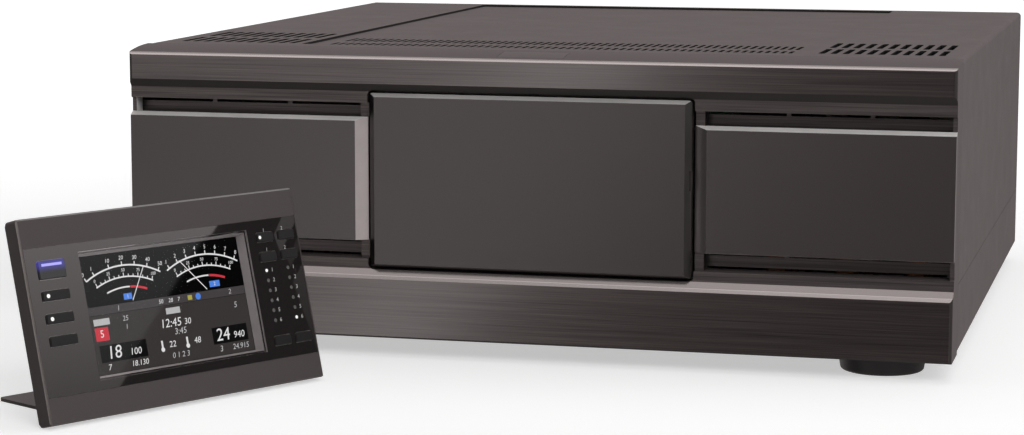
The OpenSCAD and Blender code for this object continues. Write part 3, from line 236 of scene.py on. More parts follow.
def map_range(tree, value, low, high, to_low, to_high):
    """Linear change of range, held at its ends."""
    node = tree.nodes.new("ShaderNodeMapRange")
    feed_node(tree, node, Value=value, From_Min=low, From_Max=high, To_Min=to_low,
              To_Max=to_high)
    return node.outputs["Result"]


def mix_node(tree, kind, factor, a, b):
    """Mix node on colours or colour sockets."""
    node = tree.nodes.new("ShaderNodeMix")
    node.data_type = "RGBA"
    node.blend_type = kind
    a, b = ((*value[:3], 1.0) if isinstance(value, tuple) else value for value in (a, b))
    feed_node(tree, node, Factor=factor, A=a, B=b)
    return node.outputs["Result"]


def swing(tree, value, depth):
    """How far a value that runs from 0 to 1 is off its middle, times a depth."""
    return math_node(tree, "MULTIPLY", math_node(tree, "SUBTRACT", value, 0.5), depth)


# ---- node groups

PAINT_GRAIN = 2600.0  # scale of the fine grain of sprayed paint
MOULDING_GRAIN = 1700.0
CAP_GRAIN = 2200.0
GRAIN_DEPTH = 0.12
GRAIN_MOTTLE = 0.06
SLOW_SCALE = 9.0
SMUDGE_SCALE = 42.0
SMUDGE_RANGE = (0.35, 0.75)
# Brushed lines: scale along them, scale across them, share in the whole
BRUSH_LINES = ((6.0, 700.0, 0.3), (14.0, 1600.0, 0.42), (30.0, 3600.0, 0.28))
# Depth of the brushed lines' shade on bare metal, plated metal, threads and the front frame
METAL_LINES, PLATED_LINES, THREAD_LINES, FRAME_LINES = 0.3, 0.12, 0.15, 3.6
GROOVE_SCALE = 320.0


def new_group(name, inputs, outputs):
    """Shader node group on a vector, with numbers as its other inputs and its outputs; returns
    the group, its input node and its output node."""
    group = bpy.data.node_groups.new(name, "ShaderNodeTree")
    group.interface.new_socket("Vector", in_out="INPUT", socket_type="NodeSocketVector")
    for socket, value in inputs.items():
        made = group.interface.new_socket(socket, in_out="INPUT", socket_type="NodeSocketFloat")
        made.default_value = value
    for socket in outputs:
        group.interface.new_socket(socket, in_out="OUTPUT", socket_type="NodeSocketFloat")
    return group, group.nodes.new("NodeGroupInput"), group.nodes.new("NodeGroupOutput")


def build_grain_group():
    """Fine orange-peel of a sprayed or moulded surface with a slow change over the piece."""
    group, source, sink = new_group(
        "surface_grain",
        {"Fine Scale": PAINT_GRAIN, "Depth": GRAIN_DEPTH, "Mottle": GRAIN_MOTTLE},
        ["Shade", "Height", "Wear"])
    vector = source.outputs["Vector"]
    fine = noise(group, vector, source.outputs["Fine Scale"], detail=3.0, rough=0.6)
    slow = noise(group, vector, SLOW_SCALE, detail=4.0, rough=0.55)
    smudge = noise(group, vector, SMUDGE_SCALE, detail=5.0, rough=0.62)
    spread = swing(group, slow, source.outputs["Mottle"])
    speck = swing(group, fine, source.outputs["Depth"])
    shade = math_node(group, "ADD", math_node(group, "ADD", spread, speck), 1.0)
    wear = map_range(group, smudge, *SMUDGE_RANGE, 0.0, 1.0)
    feed_node(group, sink, Shade=shade, Height=fine, Wear=wear)
    return group


def build_brushed_group():
    """Long lines along X, as a belt leaves them on metal: broad ones and fine ones."""
    group, source, sink = new_group("brushed_lines", {"Depth": METAL_LINES},
                                    ["Shade", "Height"])
    total = None
    for along, across, share in BRUSH_LINES:
        mapping = group.nodes.new("ShaderNodeMapping")
        feed_node(group, mapping, Vector=source.outputs["Vector"],
                  Scale=(along, across, across))
        lines = noise(group, mapping.outputs[0], 1.0, detail=2.0, rough=0.5)
        lines = math_node(group, "MULTIPLY", lines, share)
        total = lines if total is None else math_node(group, "ADD", total, lines)
    shade = math_node(group, "ADD", swing(group, total, source.outputs["Depth"]), 1.0)
    feed_node(group, sink, Shade=shade, Height=total)
    return group


def build_groove_group():
    """Fine turned grooves along Y, as on a threaded barrel."""
    group, source, sink = new_group("turned_grooves", {}, ["Height"])
    wave = group.nodes.new("ShaderNodeTexWave")
    wave.bands_direction = "Y"
    feed_node(group, wave, Vector=source.outputs["Vector"], Scale=GROOVE_SCALE)
    feed_node(group, sink, Height=wave.outputs["Fac"])
    return group


GRAIN = build_grain_group()
BRUSHED = build_brushed_group()
GROOVES = build_groove_group()


# ---- materials

class Finish:
    """A material under construction: its tree, shader and Object coordinates. Its masks are
    1 where the surface is meant and 0 elsewhere."""

    def __init__(self, name):
        self.material = bpy.data.materials.new(name)
        self.material.use_nodes = True
        self.tree = self.material.node_tree
        self.shader = self.tree.nodes["Principled BSDF"]
        self.coords = self.tree.nodes.new("ShaderNodeTexCoord").outputs["Object"]

    def set(self, **values):
        feed_node(self.tree, self.shader, **values)

    def link(self, socket, name):
        self.tree.links.new(socket, self.shader.inputs[name])

    def group(self, group, **values):
        """Places a node group on the Object coordinates, with its own values."""
        node = self.tree.nodes.new("ShaderNodeGroup")
        node.node_tree = group
        feed_node(self.tree, node, Vector=self.coords, **values)
        return node

    def tinted(self, color, shade):
        """Colour times a shade socket."""
        return mix_node(self.tree, "MULTIPLY", 1.0, color, shade)

    def blend(self, factor, a, b):
        """Colour a where the factor is 0 and b where it is 1."""
        return mix_node(self.tree, "MIX", factor, a, b)

    def ramp(self, value, low, high):
        """Number that goes from low to high as a value goes from 0 to 1."""
        return map_range(self.tree, value, 0.0, 1.0, low, high)

    def bump(self, height, strength, distance=0.2 * MM):
        node = self.tree.nodes.new("ShaderNodeBump")
        feed_node(self.tree, node, Height=height, Strength=strength, Distance=distance)
        self.link(node.outputs["Normal"], "Normal")

    def along(self, direction, origin=(0.0, 0.0, 0.0)):
        """Distance of the surface point from an origin, measured along a direction."""
        offset = self.tree.nodes.new("ShaderNodeVectorMath")
        offset.operation = "SUBTRACT"
        self.tree.links.new(self.coords, offset.inputs[0])
        offset.inputs[1].default_value = origin
        return self.dot(offset.outputs["Vector"], direction)

    def facing(self, direction):
        """How far the surface faces a direction: 1 when square to it."""
        geometry = self.tree.nodes.new("ShaderNodeNewGeometry")
        return self.dot(geometry.outputs["True Normal"], direction)

    def dot(self, vector, direction):
        node = self.tree.nodes.new("ShaderNodeVectorMath")
        node.operation = "DOT_PRODUCT"
        self.tree.links.new(vector, node.inputs[0])
        node.inputs[1].default_value = direction
        return node.outputs["Value"]

    def size(self, value):
        return math_node(self.tree, "ABSOLUTE", value)

    def above(self, value, limit):
        return math_node(self.tree, "GREATER_THAN", value, limit)

    def below(self, value, limit):
        return math_node(self.tree, "LESS_THAN", value, limit)

    def both(self, first, *others):
        """1 where all masks are 1; also a value kept only where a mask is 1."""
        total = first
        for mask in others:
            total = math_node(self.tree, "MULTIPLY", total, mask)
        return total

    def either(self, a, b):
        return math_node(self.tree, "MAXIMUM", a, b)

    def between(self, value, low, high):
        return self.both(self.above(value, low), self.below(value, high))


def grained(name, color, rough, fine=PAINT_GRAIN, depth=GRAIN_DEPTH, specular=0.5, bump=0.12):
    """Painted or moulded surface: base colour, slow mottling, fine grain and its bump."""
    finish = Finish(name)
    grain = finish.group(GRAIN, Fine_Scale=fine, Depth=depth, Mottle=GRAIN_MOTTLE)
    finish.link(finish.tinted(color, grain.outputs["Shade"]), "Base Color")
    finish.link(finish.ramp(grain.outputs["Wear"], rough, rough * 0.86), "Roughness")
    finish.set(Specular_IOR_Level=specular)
    finish.bump(grain.outputs["Height"], bump)
    return finish.material


def brushed_base(name, color, rough, depth):
    """Metal with brushed lines along X, still without bump; also returns its lines."""
    finish = Finish(name)
    lines = finish.group(BRUSHED, Depth=depth)
    finish.link(finish.tinted(color, lines.outputs["Shade"]), "Base Color")
    finish.link(map_range(finish.tree, lines.outputs["Height"], 0.3, 0.7, rough * 0.85,
                          rough * 1.15), "Roughness")
    finish.set(Metallic=1.0)
    return finish, lines


def brushed_metal(name, color, rough, depth=METAL_LINES):
    """Bare or plated metal with brushed lines along X."""
    finish, lines = brushed_base(name, color, rough, depth)
    finish.bump(lines.outputs["Height"], 0.12, 0.1 * MM)
    return finish.material


def threaded_metal(name, color, rough):
    """Plated barrel with turned grooves."""
    finish, _ = brushed_base(name, color, rough, THREAD_LINES)
    finish.bump(finish.group(GROOVES).outputs["Height"], 0.5, 0.3 * MM)
    return finish.material


# How far a face has to look a certain way to count as doing so
SQUARE_ON = 0.95
SIDEWAYS = 0.9
UPWARD = 0.8
SLOPING = 0.3

# Where the front frame's finishes begin and end, from its front face or its outer sides
POLISHED_DEPTH = 1.0 * MM
PAINT_DEPTH = 1.5 * MM
LIP_DEPTH = 2.0 * MM
CHEEK_DEPTH = 13.0 * MM
SLOT_DEPTH = 14.1 * MM
CHEEK_SPAN = (HALF_W - 12.0 * MM, HALF_W - 1.0 * MM)
FRAME_SIDE = HALF_W - 0.3 * MM


def frame_finish():
    """Front frame: brushed dyed metal under clear lacquer wherever it faces forward, polished
    edges, painted shade on the undercut slopes and in the slots, a painted highlight on the
    cheeks' inner faces, painted top and sides."""
    finish = Finish("front_frame_metal")
    tree = finish.tree
    lines = finish.group(BRUSHED, Depth=FRAME_LINES)
    grain = finish.group(GRAIN, Fine_Scale=PAINT_GRAIN, Depth=0.1, Mottle=0.05)
    facing = finish.facing(FORWARD)
    up = finish.facing(UP)
    sideways = finish.size(finish.facing(RIGHT))
    depth = finish.along(INWARD, (0.0, FRONT_Y, 0.0))
    across = finish.size(finish.along(RIGHT))

    flat = finish.above(facing, SQUARE_ON)
    plain = math_node(tree, "SUBTRACT", 1.0, flat)
    edge = finish.both(finish.above(up, SLOPING), finish.above(facing, SLOPING))
    outer_edge = finish.both(edge, finish.below(depth, POLISHED_DEPTH))
    # painted highlight on the cheeks' inner faces
    cheek_highlight = finish.both(finish.above(sideways, SIDEWAYS), finish.below(depth, CHEEK_DEPTH),
                        finish.between(across, *CHEEK_SPAN))
    top = finish.both(finish.above(depth, PAINT_DEPTH), finish.above(up, UPWARD))
    side = finish.both(finish.above(sideways, SIDEWAYS), finish.above(across, FRAME_SIDE))
    # painted shade in the slots
    slot = finish.both(finish.above(depth, SLOT_DEPTH), finish.below(up, UPWARD))
    inner = finish.above(depth, LIP_DEPTH)

    band = finish.tinted(finish.blend(inner, BAND_COLOR, LIP_COLOR), lines.outputs["Shade"])
    paint = finish.tinted(COVER_COLOR, grain.outputs["Shade"])
    # faces that don't face forward get painted shade
    color = finish.blend(flat, RECESS_SHADE_COLOR, band)
    color = finish.blend(edge, color, LOWER_EDGE_COLOR)
    color = finish.blend(outer_edge, color, EDGE_COLOR)
    color = finish.blend(cheek_highlight, color, CHEEK_HIGHLIGHT_COLOR)
    color = finish.blend(slot, color, SLOT_SHADE_COLOR)
    color = finish.blend(finish.either(top, side), color, paint)
    finish.link(color, "Base Color")

    finish.link(math_node(tree, "ADD", finish.both(flat, finish.ramp(inner, 0.6, 0.35)),
                          finish.both(plain, finish.ramp(edge, 0.0, 0.85))), "Metallic")
    line_rough = map_range(tree, lines.outputs["Height"], 0.35, 0.65, 0.38, 0.30)
    finish.link(math_node(tree, "ADD", finish.both(flat, line_rough),
                          finish.both(plain, finish.ramp(edge, 0.55, 0.2))), "Roughness")
    finish.link(finish.both(flat, math_node(tree, "SUBTRACT", 1.0, inner)), "Coat Weight")
    finish.set(Specular_IOR_Level=0.25, Coat_Roughness=0.1)
    finish.bump(math_node(tree, "ADD", finish.both(flat, lines.outputs["Height"]),
                          finish.both(plain, grain.outputs["Height"])), 0.05)
    return finish.material


# Where the painted shade on the cover's slot walls and inside begins
COVER_WALLS_Z = CASE_TOP - 6.0 * MM
COVER_WALLS_HALF_W = HALF_W - 3.0 * MM
COVER_WALLS_UP = 0.12
COVER_INSIDE_HALF_W = HALF_W - 0.5 * MM


def cover_finish():
    """Painted sheet of the cover and the tray; the walls of its slots and the insides get
    nearly black painted shade."""
    finish = Finish("cover_paint")
    grain = finish.group(GRAIN, Fine_Scale=PAINT_GRAIN, Depth=GRAIN_DEPTH, Mottle=0.08)
    up = finish.facing(UP)
    sideways = finish.size(finish.facing(RIGHT))
    height = finish.along(UP)
    across = finish.size(finish.along(RIGHT))
    # painted shade on the slot walls and the insides
    shaded_slot_walls = finish.both(finish.above(height, COVER_WALLS_Z),
                            finish.below(up, COVER_WALLS_UP),
                            finish.below(across, COVER_WALLS_HALF_W))
    shaded_insides = finish.both(finish.above(sideways, SIDEWAYS),
                             finish.below(across, COVER_INSIDE_HALF_W))
    paint = finish.tinted(COVER_COLOR, grain.outputs["Shade"])
    finish.link(finish.blend(finish.either(shaded_slot_walls, shaded_insides), paint, COVER_SHADE_COLOR),
                "Base Color")
    finish.link(finish.ramp(grain.outputs["Wear"], 0.56, 0.48), "Roughness")
    finish.set(Specular_IOR_Level=0.3)
    finish.bump(grain.outputs["Height"], 0.1)
    return finish.material


BEVEL_FACING = (0.28, 0.96)
BEVEL_UPWARD = 0.4
BEVEL_WEAR = 0.82
BEVEL_ROUGH = 0.3


def bevelled_finish(name, color, edge_color, top_highlight_color, forward, rough, specular,
                    fine=PAINT_GRAIN):
    """Painted front with worked bevels: what faces forward squarely is paint, the side bevels
    are metal and the top ones a pale satin that is a painted highlight. On the controller's
    case the pale metal of the side bevels is a painted highlight too."""
    finish = Finish(name)
    grain = finish.group(GRAIN, Fine_Scale=fine, Depth=0.1, Mottle=0.07)
    bevel = finish.between(finish.facing(forward), *BEVEL_FACING)
    top = finish.both(bevel, finish.above(finish.facing(UP), BEVEL_UPWARD))
    worn = finish.ramp(grain.outputs["Wear"], 1.0, BEVEL_WEAR)
    # the top bevels' pale colour is a painted highlight
    edges = finish.tinted(finish.blend(top, edge_color, top_highlight_color), worn)
    finish.link(finish.blend(bevel, finish.tinted(color, grain.outputs["Shade"]), edges),
                "Base Color")
    finish.link(math_node(finish.tree, "SUBTRACT", bevel, top), "Metallic")
    finish.link(finish.ramp(bevel, rough, BEVEL_ROUGH), "Roughness")
    finish.set(Specular_IOR_Level=specular)
    finish.bump(grain.outputs["Height"], 0.1)
    return finish.material


FASCIA_SQUARE_ON = 0.97


def fascia_finish():
    """Gloss black fascia; the sloping frame round the screen is grey satin."""
    finish = Finish("gloss_fascia")
    grain = finish.group(GRAIN, Fine_Scale=400.0, Depth=0.03, Mottle=0.05)
    slope = finish.below(finish.facing(CTL_FORWARD), FASCIA_SQUARE_ON)
    finish.link(finish.blend(slope, finish.tinted(FASCIA_COLOR, grain.outputs["Shade"]),
                             SCREEN_FRAME_COLOR), "Base Color")
    finish.link(finish.ramp(slope, 0.02, 0.4), "Roughness")
    finish.set(Specular_IOR_Level=0.5, Specular_Tint=WARM)
    finish.bump(grain.outputs["Height"], 0.001)
    return finish.material


# The power key's glow grows between these heights over the key's middle
GLOW_SPAN = (3.4 * MM, 6.4 * MM)


def power_key_finish():
    """Power key: dark cap whose upper part glows blue around its light bar."""
    finish = Finish("power_key_cap")
    grain = finish.group(GRAIN, Fine_Scale=CAP_GRAIN, Depth=0.1, Mottle=0.05)
    middle = controller_place @ Vector((LEFT_KEYS_X, 0, POWER_KEY_Z))
    glow = map_range(finish.tree, finish.along(CTL_UP, tuple(middle)), *GLOW_SPAN, 0.0, 1.0)
    finish.link(finish.tinted(POWER_KEY_COLOR, grain.outputs["Shade"]), "Base Color")
    finish.link(finish.blend(glow, BLACK, POWER_GLOW_COLOR), "Emission Color")
    finish.set(Emission_Strength=1.0, Roughness=0.3, Specular_IOR_Level=0.4)
    finish.bump(grain.outputs["Height"], 0.08)
    return finish.material


CELL_SCALE = 180.0
TRACK_FROM = 0.42
SOLDER_TO = 0.07


def board_finish():
    """Green circuit board with paler tracks and small solder spots."""
    finish = Finish("circuit_board")
    voronoi = finish.tree.nodes.new("ShaderNodeTexVoronoi")
    voronoi.distance = "CHEBYCHEV"
    feed_node(finish.tree, voronoi, Vector=finish.coords, Scale=CELL_SCALE)
    cells = voronoi.outputs["Distance"]
    track = finish.above(cells, TRACK_FROM)
    spot = finish.below(cells, SOLDER_TO)
    color = finish.blend(track, BOARD_COLOR, TRACK_COLOR)
    finish.link(finish.blend(spot, color, SOLDER_COLOR), "Base Color")
    finish.link(finish.ramp(spot, 0.35, 0.25), "Roughness")
    finish.bump(cells, 0.2)
    return finish.material


WIRE_SCALE = 190.0


def winding_finish():
    """Enamelled copper wire: its turns as fine ridges."""
    finish = Finish("copper_winding")
    wave = finish.tree.nodes.new("ShaderNodeTexWave")
    wave.bands_direction = "Y"
    feed_node(finish.tree, wave, Vector=finish.coords, Scale=WIRE_SCALE, Distortion=0.4)
    turns = wave.outputs["Fac"]
    finish.link(finish.blend(turns, WIRE_GAP_COLOR, WIRE_COLOR), "Base Color")
    finish.link(finish.ramp(turns, 0.45, 0.25), "Roughness")
    finish.set(Metallic=0.6)
    finish.bump(turns, 0.7, 0.5 * MM)
    return finish.material


def window_finish():
    """Clear acrylic with a slight grey tint and faint waviness."""
    finish = Finish("screen_window")
    grain = finish.group(GRAIN, Fine_Scale=20.0, Depth=0.0, Mottle=0.0)
    finish.set(Base_Color=(0.97, 0.98, 1.0, 1.0), Transmission_Weight=1.0, Roughness=0.0,
               IOR=1.03)
    finish.bump(grain.outputs["Height"], 0.0005)
    return finish.material


UNLIT_SHARE = 0.1  # how bright a light-giving print is by itself


def lit(name, color):
    """Light-giving print or lamp: dark in itself, so that it shows as its own light. It
    carries the window's gloss, too."""
    finish = Finish(name)
    grain = finish.group(GRAIN, Fine_Scale=900.0, Depth=0.05, Mottle=0.02)
    unlit = tuple(UNLIT_SHARE * part for part in color)
    finish.link(finish.tinted(unlit, grain.outputs["Shade"]), "Base Color")
    finish.link(finish.tinted(color, grain.outputs["Shade"]), "Emission Color")
    finish.set(Emission_Strength=1.0, Roughness=0.03, Specular_IOR_Level=0.13)
    return finish.material


plain_keys = [name for name in nodes if name.startswith("key_") and name != "key_power"]
# Each material and the CAD nodes that wear it
WORN_BY = (
    (frame_finish(), ["front_frame"]),
    (cover_finish(), ["top_cover", "bottom_tray"]),
    (grained("tab_paint", COVER_COLOR, 0.5, specular=0.3, bump=0.1), ["release_tab"]),
    (bevelled_finish("plate_paint", PLATE_COLOR, PLATE_BEVEL_COLOR, PLATE_TOP_HIGHLIGHT_COLOR, FORWARD,
                     rough=0.18, specular=0.42), ["left_front_plate", "right_front_plate"]),
    (bevelled_finish("dock_cover_paint", DOCK_COLOR, DOCK_BEVEL_COLOR, DOCK_TOP_HIGHLIGHT_COLOR, FORWARD,
                     rough=0.18, specular=0.40), ["dock_cover"]),
    (grained("rear_paint", REAR_COLOR, 0.5), ["rear_panel"]),
    (brushed_metal("zinc_steel", STEEL_COLOR, 0.38),
     ["case_screws", "foot_screws", "stand_pin", "controller_screws"]),
    (brushed_metal("inner_steel", INNER_STEEL_COLOR, 0.5), ["supply_case"]),
    (brushed_metal("nickel_plate", NICKEL_COLOR, 0.22, PLATED_LINES),
     ["fan_guards", "ground_nut", "phono_jacks"]),
    (threaded_metal("threaded_nickel", NICKEL_COLOR, 0.24), ["coax_sockets"]),
    (threaded_metal("threaded_steel", STEEL_COLOR, 0.32), ["ground_stud"]),
    (brushed_metal("bare_alloy", ALLOY_COLOR, 0.45), ["heat_sink"]),
    (bevelled_finish("case_moulding", CASE_COLOR, CASE_BEVEL_HIGHLIGHT_COLOR, CASE_TOP_HIGHLIGHT_COLOR, CTL_FORWARD,
                     rough=0.5, specular=0.15, fine=MOULDING_GRAIN), ["controller_front"]),
    (grained("shell_moulding", CASE_COLOR, 0.5, fine=MOULDING_GRAIN, depth=0.14,
             specular=0.35, bump=0.2), ["controller_back", "stand"]),
    (grained("black_moulding", MOULDING_COLOR, 0.45, fine=1500.0),
     ["left_fan_frame", "right_fan_frame", "left_fan_rotor", "right_fan_rotor", "mains_inlet",
      "breaker_frame", "breaker_rocker", "control_jacks", "tuner_relays", "controller_jack"]),
    (fascia_finish(), ["fascia"]),
    (grained("key_caps", KEY_COLOR, 0.38, fine=CAP_GRAIN, specular=0.2, bump=0.08), plain_keys),
    (power_key_finish(), ["key_power"]),
    (grained("foot_rubber", RUBBER_COLOR, 0.62, fine=1300.0, bump=0.3), ["feet"]),
    (board_finish(), ["supply_board", "pa_board", "filter_board", "tuner_board",
                      "control_board", "controller_board"]),
    (winding_finish(), ["filter_coils", "tuner_coils"]),
    (grained("dark_ferrite", FERRITE_COLOR, 0.6, fine=900.0, bump=0.4),
     ["supply_transformer", "output_transformers"]),
    (grained("pale_ceramic", CERAMIC_COLOR, 0.3), ["pa_transistors"]),
    (grained("capacitor_sleeve", SLEEVE_COLOR, 0.3, fine=500.0), ["supply_capacitors"]),
    (window_finish(), ["window"]),
    (lit("screen_dark", SCREEN_OFF_COLOR), ["display"]),
    (grained("lamp_unlit", LAMP_OFF_COLOR, 0.3), ["indicator_lamps"]),
)
for material, node_names in WORN_BY:
    for node_name in node_names:
        nodes[node_name].data.materials.clear()
        nodes[node_name].data.materials.append(material)


# ---- pieces

SAME_POINT = 0.004 * MM
SAME_FACE = math.radians(1.0)
SHARP_TURN = math.radians(35.0)
SMOOTH_TURN = math.radians(30.0)


def add_piece(name, bm, material, body):
    """Makes a finished piece of a bmesh, in the row frame, and lets it ride on a body."""
    mesh = mesh_from(bm, name)
    mesh.materials.append(material)
    piece = new_object(name, mesh)
    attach(piece, body)
    return piece


def soften(node_name, name, body, width):
    """Makes a copy of a CAD node with its sharp edges softened, which stands for that node."""
    bm = bmesh.new()
    bm.from_mesh(nodes[node_name].data)
    bmesh.ops.remove_doubles(bm, verts=bm.verts, dist=SAME_POINT)
    bmesh.ops.dissolve_limit(bm, angle_limit=SAME_FACE, verts=bm.verts, edges=bm.edges)
    bmesh.ops.recalc_face_normals(bm, faces=bm.faces)
    piece = add_piece(name, bm, nodes[node_name].data.materials[0], body)
    edges = piece.modifiers.new("soft_edges", "BEVEL")
    edges.width = width
    edges.segments = 2
    edges.limit_method = "ANGLE"
    edges.angle_limit = SHARP_TURN
    edges.use_clamp_overlap = True
    piece.data.polygons.foreach_set("use_smooth", [True] * len(piece.data.polygons))
    piece.data.set_sharp_from_angle(angle=SMOOTH_TURN)
    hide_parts(node_name)


FIGURE_SIZE = 1.42  # font size of figures that are 1 mm high
CURVE_STEPS = 3
DISC_STEPS = 20


class Sheet:
    """Flat shapes on one plane of a face, in that face's own millimetres: X to the right,
    Z up, and the depth into the face."""

    def __init__(self, depth, place=controller_place):
        self.bm = bmesh.new()
        self.depth = depth
        self.place = place

    def at(self, x, z, turn=0.0):
        """Puts the local X-Y plane upright at a point of the face, turned clockwise."""
        return (Matrix.Translation((x, self.depth, z)) @ Matrix.Rotation(turn, 4, "Y")
                @ Matrix.Rotation(math.pi / 2, 4, "X"))

    def box(self, x, z, width, height, turn=0.0):
        """Rectangle with its lower left corner at a point."""
        middle = self.at(x + width / 2, z + height / 2, turn)
        size = Matrix.Diagonal((width / 2, height / 2, 1, 1))
        bmesh.ops.create_grid(self.bm, x_segments=1, y_segments=1, size=1.0,
                              matrix=middle @ size)

    def bar(self, start, end, width):
        """Straight stroke from start to end."""
        a, b = Vector(start), Vector(end)
        long = (b - a).length
        middle = (a + b) / 2
        turn = math.atan2(b.x - a.x, b.y - a.y)
        self.box(middle.x - width / 2, middle.y - long / 2, width, long, turn)

    def arc(self, centre, radius, width, start, end, steps=32):
        """Curved stroke between two angles, in degrees from straight up, clockwise."""
        turned = Matrix.Rotation(math.radians(start), 4, "Y")
        hub = Vector((centre[0], self.depth, centre[1]))
        ends = [self.bm.verts.new(hub + turned @ Vector((0, 0, radius + side * width / 2)))
                for side in (-1, 1)]
        line = self.bm.edges.new(ends)
        bmesh.ops.spin(self.bm, geom=[*ends, line], cent=hub, axis=(0, 1, 0),
                       angle=math.radians(end - start), steps=steps)

    def disc(self, x, z, radius):
        bmesh.ops.create_circle(self.bm, cap_ends=True, segments=DISC_STEPS, radius=radius,
                                matrix=self.at(x, z))

    def figures(self, text, x, z, height, slant=0.0):
        """Plain figures, centred on a point."""
        curve = bpy.data.curves.new("figures", "FONT")
        curve.body = text
        curve.size = height * FIGURE_SIZE
        curve.shear = slant
        curve.align_x = "CENTER"
        curve.align_y = "CENTER"
        curve.resolution_u = CURVE_STEPS
        holder = new_object("figures", curve)
        bpy.context.view_layer.update()
        mesh = bpy.data.meshes.new_from_object(holder)
        mesh.transform(self.at(x, z))
        self.bm.from_mesh(mesh)
        bpy.data.objects.remove(holder)
        bpy.data.curves.remove(curve)
        bpy.data.meshes.remove(mesh)

    def make(self, name, material, body="controller"):
        """Turns every shape towards the viewer and makes a piece of the sheet."""
        toward_viewer = Vector(FORWARD)
        self.bm.normal_update()
        wrong = [face for face in self.bm.faces if face.normal.dot(toward_viewer) < 0]
        bmesh.ops.reverse_faces(self.bm, faces=wrong)
        self.bm.transform(self.place)
        add_piece(name, self.bm, material, body)


# ---- what the screen shows

# Layers of the picture: how far each stands off the display in mm, material and its colour
SCREEN_LAYERS = {
    "back": (0.04, "screen_black", (0.001, 0.001, 0.001)),
    "strip": (0.07, "screen_strip_grey", (0.050, 0.044, 0.045)),
    "panel": (0.07, "screen_panel_grey", (0.036, 0.031, 0.030)),
    "wells": (0.09, "screen_well_black", (0.004, 0.004, 0.004)),
    "white": (0.13, "screen_white_ink", (0.66, 0.65, 0.64)),
    "red": (0.12, "screen_red_ink", (0.50, 0.035, 0.05)),
    "grey": (0.12, "screen_grey_ink", (0.42, 0.415, 0.41)),
    "blue": (0.11, "screen_blue_ink", (0.07, 0.20, 0.62)),
    "yellow": (0.11, "screen_yellow_ink", (0.38, 0.34, 0.06)),
}
# Fields: layer, lower left corner from the screen's own, width and height
SCREEN_FIELDS = (
    ("back", 0, 0, SCREEN_W, SCREEN_H), ("strip", 0, 27.6, SCREEN_W, 3.9),
    ("panel", 0, 0, SCREEN_W, 27.4), ("wells", 4.5, 5.5, 27, 8), ("wells", 71, 5.5, 21.5, 8),
    ("blue", 23.2, 32.9, 4.8, 2.9), ("blue", 74.6, 32.9, 6.2, 2.9),
    ("yellow", 60.2, 28.4, 2.6, 2.2), ("red", 3.6, 15.6, 7.6, 6.2),
    ("grey", 3.6, 22.8, 9.2, 3.0), ("grey", 46, 23.2, 8.4, 2.9),
    ("white", 40.0, 7.2, 1.0, 4.2), ("white", 55.0, 7.2, 1.0, 4.2),
)
# Dots: layer, middle and radius
SCREEN_DOTS = (("blue", 66.5, 29.5, 1.6), ("white", 40.5, 7.2, 1.1), ("white", 55.5, 7.2, 1.1))
# Figures: layer, text, middle, height and slant
SLANT, BIG_SLANT = 0.15, 0.12
SCREEN_FIGURES = (
    ("white", "1", 25.6, 34.3, 1.7, 0.0), ("white", "2", 77.7, 34.3, 1.7, 0.0),
    ("grey", "1", 19, 29.5, 2.4, SLANT), ("grey", "2", 86, 29.5, 2.4, SLANT),
    ("white", "50", 44, 29.5, 1.9, SLANT), ("white", "28", 49.8, 29.5, 1.9, SLANT),
    ("white", "7", 54.6, 29.5, 1.9, SLANT), ("white", "5", 7.4, 18.7, 3.4, 0.0),
    ("grey", "25", 22, 24.4, 2.4, SLANT), ("grey", "1", 22, 20.4, 2.4, SLANT),
    ("white", "18", 12.4, 9.5, 6.0, BIG_SLANT), ("white", "100", 24.6, 8.6, 3.2, SLANT),
    ("white", "7", 8.5, 3.0, 2.8, SLANT), ("white", "18.130", 26, 3.0, 2.6, SLANT),
    ("white", "12:45", 47.6, 18.9, 4.0, SLANT), ("white", "30", 57.6, 18.6, 2.9, SLANT),
    ("grey", "3:45", 52.5, 14.6, 3.0, SLANT), ("white", "22", 46.5, 9.0, 2.9, SLANT),
    ("white", "48", 61.5, 9.0, 2.9, SLANT), ("grey", "0 1 2 3", 50.5, 3.6, 2.6, SLANT),
    ("grey", "5", 88, 22.8, 2.8, SLANT), ("white", "24", 77.2, 9.5, 6.0, BIG_SLANT),
    ("white", "940", 87.0, 8.6, 3.2, SLANT), ("grey", "3", 75, 3.0, 2.8, SLANT),
    ("grey", "24.915", 87, 3.0, 2.6, SLANT),
)

# Dials: numbers with their share of the outer line, hub, and the needle's foot and tip
SCALE_MARKS = {"0": 0.0, "1": 0.12, "10": 0.33, "20": 0.5, "30": 0.66, "40": 0.82, "50": 0.97}
LEVEL_MARKS = {str(i + 1): 0.04 + 0.13 * i for i in range(8)}
DIALS = (
    (SCALE_MARKS, (25.2, 3.0), ((28.1, 32.2), (37.4, 47.2))),
    (LEVEL_MARKS, (72.4, 3.0), ((72.6, 32.2), (58.8, 47.6))),
)
# A dial's lines: radius and width in mm, and the angles between which they run in degrees
OUTER_RADIUS, OUTER_WIDTH, OUTER_REACH = 46.0, 0.75, 28
INNER_RADIUS, INNER_WIDTH, INNER_REACH = 40.6, 0.65, 24
THIRD_RADIUS, THIRD_WIDTH, THIRD_SPAN = 35.8, 0.7, (-18, 4)
RED_WIDTH, RED_SPAN = 1.1, (4.6, 20)
NEEDLE_WIDTH = 0.42
# Marks of the outer line, then ticks of the inner one, with their figures, in mm
MARK_LENGTH, MARK_WIDTH, MARK_FIGURE_AWAY, MARK_FIGURE_H = 1.8, 0.55, 3.5, 1.9
TICK_LENGTH, LONG_TICK_LENGTH, TICK_WIDTH = 1.2, 1.9, 0.45
TICK_FIGURE_AWAY, TICK_FIGURE_H = 3.1, 1.5
TICK_STEPS, TICK_REACH = 12, 23
TICKS_PER_FIGURE, FIGURE_STEP = 3, 25


